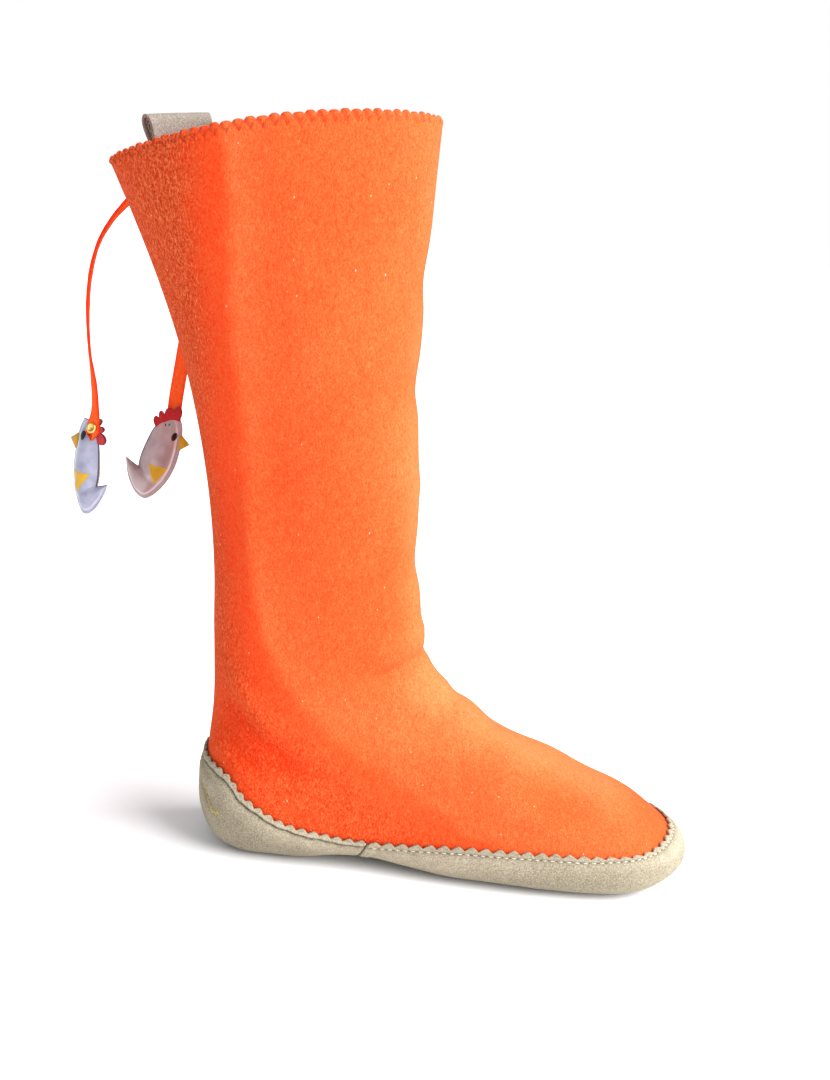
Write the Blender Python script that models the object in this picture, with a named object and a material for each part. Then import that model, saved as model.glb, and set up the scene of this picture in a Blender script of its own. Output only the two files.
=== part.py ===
"""A tall felt slipper boot with a suede moccasin bottom, standing empty on its sole.

X runs from the heel to the toe, Y to the wearer's left and Z up. The origin is on the floor, in the
middle of the heel's flat spot. Sizes are in millimetres and are turned into metres where a mesh is
made. Each soft piece is a sheet that follows one surface, that of the last with the felt on it, and
a Solidify modifier gives it its thickness.
"""

from math import cos, pi, radians, sin

import bmesh
import bpy
import numpy as np
from mathutils import Matrix, Vector

MM = 0.001

# Thicknesses, and the gaps between pieces and between the two curved sheets of the bottom.
FELT = 3.0
SUEDE = 2.0
INSOLE = 4.0
GAP = 0.3
SHEET_GAP = 0.4

# The toe: the radii of its rounding seen from the top and from the side, and the height of its tip.
TOE_PLAN_RADIUS = 45.0
TOE_SIDE_RADIUS = 30.0
TOE_HEIGHT = 15.5

# The moccasin seam across the waist, and how far the felt runs on below the suede's upper edge.
WAIST_SEAM = 189.0
FELT_LAP = 6.0
INSOLE_TOE = 30.0
INSOLE_HEEL = 252.0

# The sides of the collar rise above the straight line from its front to its back.
COLLAR_RISE = 9.0
COLLAR_RISE_START = 430.0

# The sections of the boot from the toe tip to the collar. Each lies between a point on the ridge
# (instep, shin) and a point on the keel (sole, heel, back of the leg), and is widest some way down
# from the ridge. A power of 2 makes an arc of an ellipse, more a flatter end and less a keener one.
# suede_z is the height of the suede's upper edge where the section meets it.
COLUMNS = (
    "station", "ridge_x", "ridge_z", "keel_x", "keel_z",
    "half_width", "widest", "ridge_power", "keel_power", "suede_z",
)  # fmt: skip
SECTIONS = np.array([
    (0, 226.5, 30.0, 226.5, 3.5, 36.0, 0.62, 2.0, 2.4, 31.0),
    (12, 214.5, 35.0, 214.5, 3.8, 39.0, 0.66, 2.0, 2.6, 29.0),
    (26, 200.5, 41.0, 200.5, 3.0, 41.5, 0.70, 2.1, 3.0, 26.5),
    (50, 176.5, 51.0, 176.5, 1.7, 43.5, 0.73, 2.1, 3.4, 25.5),
    (76, 150.5, 62.5, 150.5, 1.6, 44.5, 0.74, 2.1, 3.5, 26.0),
    (103, 125.0, 74.5, 121.0, 1.6, 42.5, 0.74, 2.0, 3.5, 25.0),
    (127, 107.5, 84.0, 95.0, 1.8, 39.5, 0.74, 2.0, 3.5, 23.5),
    (143, 98.5, 89.5, 75.0, 4.2, 37.0, 0.73, 2.0, 3.4, 21.5),
    (159, 91.5, 95.0, 56.0, 6.6, 35.3, 0.72, 2.0, 3.4, 20.0),
    (173, 86.5, 100.0, 38.0, 5.0, 34.5, 0.70, 2.0, 3.3, 20.3),
    (186, 83.0, 104.5, 21.0, 2.0, 34.3, 0.68, 2.0, 3.2, 22.0),
    (198, 80.5, 108.5, 4.0, 1.6, 34.5, 0.65, 2.0, 3.1, 24.3),
    (210, 78.8, 112.5, -12.0, 2.0, 35.0, 0.61, 2.0, 2.9, 28.0),
    (221, 77.4, 116.0, -24.5, 8.5, 35.6, 0.57, 2.0, 2.7, 33.5),
    (231, 76.2, 119.5, -30.3, 21.0, 36.5, 0.55, 2.0, 2.5, 40.0),
    (240, 75.2, 122.5, -31.7, 35.0, 37.2, 0.53, 2.0, 2.4, 47.5),
    (252, 74.2, 126.5, -31.2, 52.5, 38.0, 0.52, 2.0, 2.3, 52.5),
    (268, 73.0, 133.0, -30.3, 75.0, 39.0, 0.51, 2.0, 2.2, 60.0),
    (285, 71.8, 143.0, -31.0, 96.0, 40.0, 0.50, 2.0, 2.1, 70.0),
    (306, 69.5, 157.0, -32.8, 120.0, 41.0, 0.50, 2.0, 2.0, 80.0),
    (333, 67.0, 178.0, -34.5, 147.0, 42.5, 0.50, 2.0, 2.0, 90.0),
    (375, 63.3, 214.0, -40.5, 190.0, 44.5, 0.50, 2.0, 1.95, 100.0),
    (427, 59.5, 264.0, -53.5, 243.0, 47.5, 0.50, 1.9, 1.85, 110.0),
    (475, 58.5, 313.0, -70.0, 287.0, 51.0, 0.50, 1.8, 1.75, 120.0),
    (511, 58.3, 349.0, -85.5, 320.0, 53.0, 0.50, 1.75, 1.65, 130.0),
    (540, 58.5, 379.0, -98.0, 344.5, 54.0, 0.50, 1.7, 1.6, 140.0),
])  # fmt: skip
STATIONS = SECTIONS[:, 0]
SLOPES = np.gradient(SECTIONS, STATIONS, axis=0)

# Along the sole and the shaft a place is named by its run, the distance from the toe tip over the
# round of the toe. Past the toe's rounding, run and station grow together.
TOE_RUN = TOE_PLAN_RADIUS * pi / 2
COLLAR = STATIONS[-1] - TOE_PLAN_RADIUS + TOE_RUN

# The pull loop: a folded strap, as heights above the collar and depths inside the felt's outer face.
LOOP_STRAP = 1.6
LOOP_CENTRE = 0.78
LOOP_HALF_WIDTH = 0.083
LOOP_FOLD = np.array([
    (-15.0, 4.7), (-6.0, 4.7), (0.0, 4.5), (4.0, 3.7), (8.0, 3.1), (13.0, 2.9), (17.0, 3.5), (19.4, 5.2),
    (19.4, 7.0), (17.0, 8.7), (13.0, 9.2), (8.0, 8.6), (4.0, 7.7), (0.0, 6.7), (-6.0, 6.6), (-15.0, 6.6),
])  # fmt: skip

# The ties: flat strips of felt. Each row is a point x, y, z of the middle line and the heading, in
# degrees from +X towards +Y, of the strip's width.
TIE_WIDTH = 7.5
TIE_THICKNESS = 2.2
TIE_A = np.array([
    (-83.0, 16.5, 330.9, 50), (-86.8, 18.9, 329.0, 56), (-92.2, 19.8, 323.6, 68), (-98.8, 18.2, 314.6, 82),
    (-104.0, 15.2, 303.0, 90), (-106.6, 12.6, 288.0, 91), (-106.8, 11.0, 271.0, 94), (-105.0, 10.2, 252.0, 102),
    (-102.9, 9.8, 235.0, 118), (-101.6, 9.2, 221.5, 132), (-101.9, 8.0, 210.6, 140), (-102.7, 6.4, 203.6, 142),
])  # fmt: skip
TIE_B = np.array([
    (-54.2, 40.8, 336.0, 28), (-55.6, 43.4, 334.4, 27), (-56.7, 45.2, 329.0, 24), (-57.6, 45.8, 314.0, 16),
    (-58.8, 45.6, 294.0, 8), (-60.6, 45.3, 270.0, 2), (-62.8, 44.9, 248.0, 0), (-64.8, 44.4, 229.0, 0),
    (-65.8, 44.2, 215.0, 0), (-66.0, 45.6, 206.5, 0),
])  # fmt: skip

# A hen, seen from the side with its beak to the right: ribs from the crown of the head down the
# back and the breast and round into the tail. A rib is the two coordinates of its end at the back,
# the two of its end at the front, how far its middle bulges up, and half the padding's thickness
# there. Lengths are from the middle of the body.
HEN_RIBS = np.array([
    (-2.0, 17.8, 10.4, 21.4, 1.4, 0.0),
    (-3.4, 15.8, 11.3, 18.0, 0.8, 2.0),
    (-5.2, 12.4, 11.3, 13.0, 0.2, 3.8),
    (-7.0, 8.6, 10.2, 6.2, 0.0, 4.9),
    (-8.6, 4.8, 8.8, 0.6, 0.0, 5.6),
    (-9.8, 1.0, 6.8, -4.6, 0.0, 6.0),
    (-10.5, -2.6, 3.6, -10.2, 0.0, 6.0),
    (-11.0, -2.2, -0.2, -14.6, 0.0, 5.6),
    (-11.6, -1.7, -4.1, -17.7, 0.0, 5.1),
    (-12.3, -1.2, -8.0, -18.9, 0.0, 4.4),
    (-13.1, -0.5, -11.8, -16.2, 0.0, 3.5),
    (-14.0, 0.2, -14.4, -11.2, 0.0, 2.5),
    (-15.2, 1.2, -16.0, -5.4, 0.0, 1.4),
    (-16.6, 2.4, -16.6, 2.4, 0.0, 0.0),
])  # fmt: skip
HEN_ACROSS = 8
TRIM = 1.6
COMB_LOBE_ENDS = (0.0, 0.2, 0.42, 0.72, 1.0)
COMB_HEIGHT = 5.6
BEAK_TOP = (11.2, 13.2)
BEAK_FOOT = (10.2, 6.2)
BEAK_TIP = (14.9, 8.4)
RIVET_RADIUS = 2.3
RIVET_HEIGHT = 1.5

# Where a hen hangs: the middle of its body, the heading of its beak and how far it leans on its side.
HEN_A_PLACE = (-106.1, 15.8, 191.6)
HEN_A_HEADING = 142.0
HEN_A_LEAN = 32.0
HEN_B_PLACE = (-69.4, 40.6, 192.5)
HEN_B_HEADING = 0.0
HEN_B_LEAN = 0.0


# ---- materials


def srgb(*colour):
    """A colour given as 0 to 255 on the screen, as the shader's linear values."""
    return [((c / 255 + 0.055) / 1.055) ** 2.4 for c in colour] + [1.0]


def material(name, colour, roughness, metallic=0.0):
    made = bpy.data.materials.new(name)
    made.use_nodes = True
    shader = made.node_tree.nodes["Principled BSDF"]
    shader.inputs["Base Color"].default_value = srgb(*colour)
    shader.inputs["Roughness"].default_value = roughness
    shader.inputs["Metallic"].default_value = metallic
    return made


# ---- the surface of the last


def section_sizes(run):
    """The table's columns at some runs, along a smooth curve through its rows."""
    run = np.asarray(run, float)
    toe = TOE_PLAN_RADIUS * (1 - np.cos(np.minimum(run, TOE_RUN) / TOE_PLAN_RADIUS))
    station = np.clip(toe + np.maximum(run - TOE_RUN, 0), 0, STATIONS[-1])
    row = np.clip(np.searchsorted(STATIONS, station, side="right") - 1, 0, len(STATIONS) - 2)
    step = (STATIONS[row + 1] - STATIONS[row])[:, None]
    t = (station - STATIONS[row])[:, None] / step
    values = (
        (1 + 2 * t) * (1 - t) ** 2 * SECTIONS[row]
        + t * (1 - t) ** 2 * step * SLOPES[row]
        + t**2 * (3 - 2 * t) * SECTIONS[row + 1]
        - t**2 * (1 - t) * step * SLOPES[row + 1]
    )
    sizes = dict(zip(COLUMNS, values.T))
    for radius, lines, middle in (
        (TOE_PLAN_RADIUS, ("half_width",), 0.0),
        (TOE_SIDE_RADIUS, ("ridge_z", "keel_z"), TOE_HEIGHT),
    ):
        rounding = np.sqrt(1 - np.maximum(1 - station / radius, 0) ** 2)
        for line in lines:
            sizes[line] = middle + (sizes[line] - middle) * rounding
    return sizes


def half_sections(run):
    """Half of the section at each run: depth from ridge to keel, width, height and girth, from 0 to 1."""
    sizes = section_sizes(run)
    turn = np.linspace(0, pi, 97)
    down, out = np.cos(turn), np.sin(turn)
    column = {name: values[:, None] for name, values in sizes.items()}
    upper = down > 0
    power = np.where(upper, column["ridge_power"], column["keel_power"])
    reach = np.abs(down) ** (2 / power)
    widest = column["widest"]
    depth = np.where(upper, widest * (1 - reach), widest + (1 - widest) * reach)
    width = column["half_width"] * out ** (2 / power)
    height = column["ridge_z"] + depth * (column["keel_z"] - column["ridge_z"])
    slant = np.hypot(column["keel_x"] - column["ridge_x"], column["keel_z"] - column["ridge_z"])
    steps = np.hypot(np.diff(depth * slant, axis=1), np.diff(width, axis=1))
    girth = np.concatenate([np.zeros((len(steps), 1)), np.cumsum(steps, axis=1)], axis=1)
    girth /= np.maximum(girth[:, -1:], 1e-9)
    return sizes, depth, width, height, girth


def surface(run, side):
    """Points of the felt's outer face. side is 0 on the ridge and 1 on the keel, and its sign is that of Y."""
    sizes, depth, width, _, girth = half_sections(run)
    folded = np.abs(side)
    sign = np.where(folded > 1, -np.sign(side), np.sign(side))
    folded = np.where(folded > 1, 2 - folded, folded)
    points = np.zeros(side.shape + (3,))
    rise = COLLAR_RISE * np.clip((run - COLLAR_RISE_START) / (COLLAR - COLLAR_RISE_START), 0, 1) ** 2
    for i in range(len(run)):
        down = np.interp(folded[i], girth[i], depth[i])
        points[i, :, 0] = sizes["ridge_x"][i] + down * (sizes["keel_x"][i] - sizes["ridge_x"][i])
        points[i, :, 1] = sign[i] * np.interp(folded[i], girth[i], width[i])
        points[i, :, 2] = sizes["ridge_z"][i] + down * (sizes["keel_z"][i] - sizes["ridge_z"][i])
        points[i, :, 2] += rise[i] * np.sin(pi * folded[i])
    return points


def normals(run, side):
    """The outward directions of the surface, from small steps along it and around it."""
    along = surface(np.minimum(run + 0.5, COLLAR), side) - surface(np.maximum(run - 0.5, 0.01), side)
    around = surface(np.maximum(run, 0.3), side + 0.01) - surface(np.maximum(run, 0.3), side - 0.01)
    out = np.cross(around, along)
    out[run == 0] = (1.0, 0.0, 0.0)
    return out / np.linalg.norm(out, axis=2, keepdims=True)


def skin(run, side, offset):
    """Points a distance outside the felt's outer face, with the sole pressed flat where it stands."""
    points = surface(run, side) + offset * normals(run, side)
    points[:, :, 2] = np.maximum(points[:, :, 2], SUEDE + SHEET_GAP - offset)
    return points


def edge(run, drop):
    """How far round each section the suede's upper edge lies, or the line a drop below it."""
    sizes, _, _, height, girth = half_sections(run)
    level = sizes["suede_z"] - drop
    return np.array([np.interp(-level[i], -height[i], girth[i]) for i in range(len(level))])


# ---- meshes


def new_object(name, bm, made_of):
    mesh = bpy.data.meshes.new(name)
    bm.to_mesh(mesh)
    bm.free()
    mesh.shade_smooth()
    mesh.set_sharp_from_angle(angle=radians(50))
    mesh.materials.append(made_of)
    made = bpy.data.objects.new(name, mesh)
    bpy.context.collection.objects.link(made)
    return made


def add_sheet(bm, points):
    """Lays a grid of faces over an array of points. They face the side from which the rows run up
    and the columns run left."""
    rows, columns = points.shape[:2]
    grid = bmesh.ops.create_grid(bm, x_segments=columns - 1, y_segments=rows - 1, size=0.5)
    for vert in grid["verts"]:
        i = round((vert.co.y + 0.5) * (rows - 1))
        j = round((vert.co.x + 0.5) * (columns - 1))
        vert.co = points[i, j] * MM


def sheet(name, points, thickness, made_of, centred=False):
    """A sheet over the points, welded where they meet, with its thickness on the inner side or on both."""
    bm = bmesh.new()
    add_sheet(bm, points)
    bmesh.ops.remove_doubles(bm, verts=bm.verts, dist=1e-5)
    made = new_object(name, bm, made_of)
    solidify = made.modifiers.new("Thickness", "SOLIDIFY")
    solidify.thickness = thickness * MM
    solidify.offset = 0.0 if centred else -1.0
    return made


# ---- the boot


def boot_rows():
    """The runs of the sections, with the felt's and the suede's tips among them."""
    scan = np.linspace(0, 300, 3001)
    felt, suede = edge(scan, FELT_LAP), edge(scan, 0)
    tips = [scan[np.argmax(line > 0) - 1] for line in (felt, suede)]
    backs = [scan[np.argmax(line >= 1)] for line in (felt, suede)]
    fixed = np.array(tips + backs + [0.0, WAIST_SEAM, COLLAR])
    spread = np.concatenate([np.arange(6, TOE_RUN, 7), np.arange(TOE_RUN, 300, 9), np.arange(300, COLLAR, 17)])
    free = [run for run in spread if np.abs(fixed - run).min() > 3]
    return np.sort(np.concatenate([fixed, free])), tips, backs


def make_upper(rows, tip, felt):
    run = rows[rows >= tip]
    top, rim = edge(run, 0)[:, None], edge(run, FELT_LAP)[:, None]
    half = np.concatenate([top * np.linspace(0, 1, 13), rim], axis=1)
    side = np.concatenate([-half[:, :0:-1], half], axis=1)
    return sheet("upper", skin(run, side, 0.0), FELT, felt)


def sole_columns(run, first):
    """Columns below the felt's rim, from the first of nine on one side, round the keel, to the other."""
    rim = edge(run, FELT_LAP)[:, None]
    return rim + (1 - rim) * np.linspace(0, 1, 9)[first:]


def over_the_keel(half):
    """Both sides of the sole, from the column of one side."""
    return np.concatenate([half, -half[:, -2::-1]], axis=1)


def make_sole(name, run, suede):
    half = np.concatenate([edge(run, 0)[:, None], sole_columns(run, 0)], axis=1)
    return sheet(name, skin(run, over_the_keel(half), SHEET_GAP + SUEDE), SUEDE, suede)


def make_insole(rows, felt):
    run = rows[(rows > INSOLE_TOE) & (rows < INSOLE_HEEL)]
    return sheet("insole", skin(run, over_the_keel(sole_columns(run, 2)), 0.0), INSOLE, felt)


def make_pull_loop(suede):
    """The strap's fold, swept along the collar a short way round from the back."""
    side = np.linspace(LOOP_CENTRE - LOOP_HALF_WIDTH, LOOP_CENTRE + LOOP_HALF_WIDTH, 7)[None, :]
    top, below = surface(np.array([COLLAR]), side)[0], surface(np.array([COLLAR - 15.0]), side)[0]
    outward = normals(np.array([COLLAR]), side)[0]
    upward = (top - below) / 15.0
    points = np.array([top + height * upward - depth * outward for height, depth in LOOP_FOLD])
    return sheet("pull_loop", points, LOOP_STRAP, suede, centred=True)


# ---- the ties and their hens


def smooth_route(table, steps):
    """A smooth curve through a table's rows, as evenly numbered points of it."""
    slope = np.gradient(table, axis=0)
    place = np.linspace(0, len(table) - 1, steps)
    row = np.minimum(place.astype(int), len(table) - 2)
    t = (place - row)[:, None]
    return (
        (1 + 2 * t) * (1 - t) ** 2 * table[row]
        + t * (1 - t) ** 2 * slope[row]
        + t**2 * (3 - 2 * t) * table[row + 1]
        - t**2 * (1 - t) * slope[row + 1]
    )


def make_tie(name, table, felt):
    route = smooth_route(table, 2 * len(table) + 3)
    heading = np.radians(route[:, 3])
    width = np.stack([np.cos(heading), np.sin(heading), 0 * heading], axis=1)
    across = np.linspace(-0.5, 0.5, 3)[None, :, None] * TIE_WIDTH
    return sheet(name, route[:, None, :3] + across * width[:, None, :], TIE_THICKNESS, felt, centred=True)


def rib_point(rib, across):
    """A point of a hen's rib in its own flat plane, from the back at 0 to the front at 1."""
    back_a, back_b, front_a, front_b, bulge, _ = rib
    a = back_a + (front_a - back_a) * across
    return a, back_b + (front_b - back_b) * across + bulge * sin(pi * across)


def make_hen_body(name, satin):
    """Two padded faces that meet in the seam round the edge."""
    bm = bmesh.new()
    across = (1 - np.cos(np.linspace(0, pi, HEN_ACROSS + 1))) / 2
    for face in (-1, 1):
        points = np.zeros((len(HEN_RIBS), len(across), 3))
        for i, rib in enumerate(HEN_RIBS):
            for j, w in enumerate(across):
                a, b = rib_point(rib, w)
                points[i, j] = (a, face * rib[5] * sin(pi * w) ** 0.7, b)
        add_sheet(bm, points[:, ::face])
    bmesh.ops.remove_doubles(bm, verts=bm.verts, dist=1e-5)
    return new_object(name, bm, satin)


def make_comb(name, felt):
    """Four rounded lobes that stand on the seam over the head."""
    points = []
    for w in np.linspace(0, 1, 29):
        a, b = rib_point(HEN_RIBS[0], w)
        lobe = np.interp(w, COMB_LOBE_ENDS, range(len(COMB_LOBE_ENDS)))
        height = 1.6 + (0.7 + 0.3 * w) * (COMB_HEIGHT - 1.6) * abs(sin(pi * lobe)) ** 0.6
        points.append([(a - 0.25 * h, 0.0, b + h) for h in (2 * GAP, height)])
    return sheet(name, np.array(points), TRIM, felt, centred=True)


def make_beak(name, felt):
    gap = 2 * GAP
    base = [(BEAK_TOP[0] + gap, 0.0, BEAK_TOP[1]), (BEAK_FOOT[0] + gap, 0.0, BEAK_FOOT[1])]
    tip = (BEAK_TIP[0], 0.0, BEAK_TIP[1])
    return sheet(name, np.array([base, [tip, tip]]), TRIM, felt, centred=True)


def make_rivet(name, brass):
    """A domed head, flat where it lies on the tie."""
    bm = bmesh.new()
    bmesh.ops.create_uvsphere(bm, u_segments=16, v_segments=10, radius=RIVET_RADIUS * MM)
    lower_half = [vert for vert in bm.verts if vert.co.z < -0.01 * MM]
    bmesh.ops.delete(bm, geom=lower_half, context="VERTS")
    bmesh.ops.holes_fill(bm, edges=[rim for rim in bm.edges if rim.is_boundary])
    bmesh.ops.scale(bm, verts=bm.verts, vec=(1, 1, RIVET_HEIGHT / RIVET_RADIUS))
    return new_object(name, bm, brass)


def make_hen(prefix, place, heading, lean, colours):
    """A hen's body, comb and beak, turned so that its beak heads a given way."""
    satin, red, yellow = colours
    turn = Matrix.Rotation(radians(heading), 4, "Z") @ Matrix.Rotation(radians(-lean), 4, "Y")
    frame = Matrix.Translation(Vector(place) * MM) @ turn
    for made in (
        make_hen_body(prefix + "_body", satin),
        make_comb(prefix + "_comb", red),
        make_beak(prefix + "_beak", yellow),
    ):
        made.matrix_world = frame
    return frame


def place_rivet(rivet, table, back, face):
    """Seats a rivet's head on one face of a tie, some points up from its end."""
    route = smooth_route(table, 101)
    heading = radians(route[-back, 3])
    along = Vector(route[-back, :3] - route[-back - 2, :3])
    normal = face * Vector((cos(heading), sin(heading), 0)).cross(along).normalized()
    seat = Vector(route[-back, :3]) + (TIE_THICKNESS / 2 + GAP) * normal
    rivet.matrix_world = Matrix.Translation(seat * MM) @ normal.to_track_quat("Z", "Y").to_matrix().to_4x4()


# ---- everything


def main():
    for old in list(bpy.data.objects):
        bpy.data.objects.remove(old, do_unlink=True)
    felt = material("orange felt", (254, 112, 58), 0.95)
    suede = material("beige suede", (213, 198, 172), 0.9)
    lining = material("grey felt", (196, 184, 168), 0.95)
    satin = material("white satin", (196, 194, 210), 0.35)
    red = material("red felt", (186, 30, 34), 0.85)
    yellow = material("yellow felt", (222, 176, 30), 0.8)
    brass = material("brass", (212, 172, 88), 0.25, 1.0)

    rows, tips, backs = boot_rows()
    make_upper(rows, tips[0], felt)
    seam = GAP / 2
    fore, rear = rows[rows < WAIST_SEAM], rows[(rows > WAIST_SEAM) & (rows <= backs[1])]
    make_sole("forefoot_sole", np.append(fore, WAIST_SEAM - seam), suede)
    make_sole("heel_sole", np.append(WAIST_SEAM + seam, rear), suede)
    make_insole(rows, lining)
    make_pull_loop(suede)

    make_tie("tie_a", TIE_A, felt)
    make_tie("tie_b", TIE_B, felt)
    make_hen("hen_a", HEN_A_PLACE, HEN_A_HEADING, HEN_A_LEAN, (satin, red, yellow))
    make_hen("hen_b", HEN_B_PLACE, HEN_B_HEADING, HEN_B_LEAN, (satin, red, yellow))
    place_rivet(make_rivet("hen_a_rivet", brass), TIE_A, 7, 1)
    place_rivet(make_rivet("hen_b_rivet", brass), TIE_B, 6, 1)


main()
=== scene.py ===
"""A tall slipper boot of orange felt with a suede moccasin bottom, standing empty on its sole.

X runs from the heel to the toe, Y to the wearer's left and Z up, with the origin on the floor under
the heel. Sizes are in millimetres, and are turned into metres where a mesh gets its place. The
sections follow the making: what hangs from the collar first, then the felt, the suede bottom, the
insole and the pull loop.
"""

from math import cos, pi, radians, sin

import bmesh
import bpy
import numpy as np
from mathutils import Euler, Matrix, Vector
from mathutils.bvhtree import BVHTree


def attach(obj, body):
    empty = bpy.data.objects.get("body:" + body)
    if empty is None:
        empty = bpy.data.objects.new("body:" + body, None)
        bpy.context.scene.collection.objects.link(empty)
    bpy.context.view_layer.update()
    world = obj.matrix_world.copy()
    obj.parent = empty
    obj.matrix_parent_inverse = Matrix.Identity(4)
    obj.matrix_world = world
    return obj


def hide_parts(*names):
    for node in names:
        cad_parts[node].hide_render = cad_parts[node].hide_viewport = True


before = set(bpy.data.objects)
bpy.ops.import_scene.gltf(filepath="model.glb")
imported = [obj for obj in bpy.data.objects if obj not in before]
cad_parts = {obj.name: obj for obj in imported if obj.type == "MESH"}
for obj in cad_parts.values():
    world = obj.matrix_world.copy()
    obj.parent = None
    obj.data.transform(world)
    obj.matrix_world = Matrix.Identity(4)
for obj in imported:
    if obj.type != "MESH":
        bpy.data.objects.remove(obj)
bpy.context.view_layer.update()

MM = 0.001


# ---- The camera
# It looks across the boot from its right, a little from behind and above, and is rolled so that the
# toe points down.

AIM = (66.0, 0.0, 172.0)
DISTANCE = 720.0
AZIMUTH = -3.0
ELEVATION = 14.0
ROLL = 6.0
VIEW_HEIGHT = 552.0
SENSOR = 36.0

azimuth, elevation = radians(AZIMUTH), radians(ELEVATION)
away = Vector((sin(azimuth) * cos(elevation), -cos(azimuth) * cos(elevation), sin(elevation)))
camera_data = bpy.data.cameras.new("camera")
camera_data.sensor_width = SENSOR
camera_data.lens = SENSOR * DISTANCE / VIEW_HEIGHT
camera_data.clip_start, camera_data.clip_end = 0.05, 20.0
camera = bpy.data.objects.new("camera", camera_data)
turned = (-away).to_track_quat("-Z", "Y").to_matrix().to_4x4() @ Matrix.Rotation(radians(ROLL), 4, "Z")
camera.matrix_world = Matrix.Translation((Vector(AIM) + away * DISTANCE) * MM) @ turned
bpy.context.collection.objects.link(camera)
bpy.context.scene.camera = camera
bpy.context.scene.view_settings.view_transform = "Standard"


# ---- The ties
# Two narrow strips of felt, sewn to the collar and hanging down the back. Each is cut to a point at
# its lower end, where a rivet holds a stuffed hen on it.

TIE_WIDTH = 7.5
TIE_THICKNESS = 1.5
TIE_AROUND = 20
TIE_ROWS = 130
TIE_POINT = 4.4
TIE_POINT_SHARE = 0.1
TIE_ROUNDING = 2 / 3.6
# x, y, z of the middle line, and the heading of the strip's width, in degrees from +X towards +Y.
TIE_A = np.array([
    (-83, 16.5, 330.9, 50), (-86.8, 18.9, 329, 56), (-92.2, 19.8, 323.6, 68), (-98.8, 18.2, 314.6, 82),
    (-104, 15.2, 303, 90), (-106.6, 12.6, 288, 91), (-106.8, 11, 271, 94), (-105, 10.2, 252, 102),
    (-101.9, 9.8, 235, 118), (-100.5, 9.4, 221.5, 127), (-101, 8.2, 213.4, 151), (-101.3, 6.7, 206.1, 163),
])  # fmt: skip
TIE_B = np.array([
    (-54.2, 40.8, 336, 28), (-55.6, 43.4, 334.4, 27), (-56.7, 45.2, 329, 24), (-57.6, 45.8, 314, 16),
    (-58.8, 45.6, 294, 8), (-60.6, 45.3, 270, 2), (-62.8, 44.9, 248, 0), (-64.8, 44.4, 229, 0),
    (-65.8, 44.2, 215, 0), (-66, 45.6, 206.5, 0),
])  # fmt: skip


def srgb(colour):
    """A colour given as 0 to 255 on the screen, as the shader's linear values."""
    return tuple(((c / 255 + 0.055) / 1.055) ** 2.4 for c in colour) + (1.0,)


class Signal:
    """What a socket of a finish gives. Arithmetic on it adds Math nodes."""

    def __init__(self, finish, socket):
        self.finish, self.socket = finish, socket

    def math(self, operation, *values):
        return self.finish.node("ShaderNodeMath", {"operation": operation}, dict(enumerate(values)))

    def __add__(self, other):
        return self.math("ADD", self, other)

    def __mul__(self, other):
        return self.math("MULTIPLY", self, other)

    def __sub__(self, other):
        return self.math("SUBTRACT", self, other)

    def __rsub__(self, other):
        return self.math("SUBTRACT", other, self)

    __radd__, __rmul__ = __add__, __mul__

    def step(self, low, high):
        """0 below low, 1 above high and a smooth rise between them."""
        settings = {"interpolation_type": "SMOOTHSTEP"}
        return self.finish.node("ShaderNodeMapRange", settings, {"Value": self, "From Min": low, "From Max": high})


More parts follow.
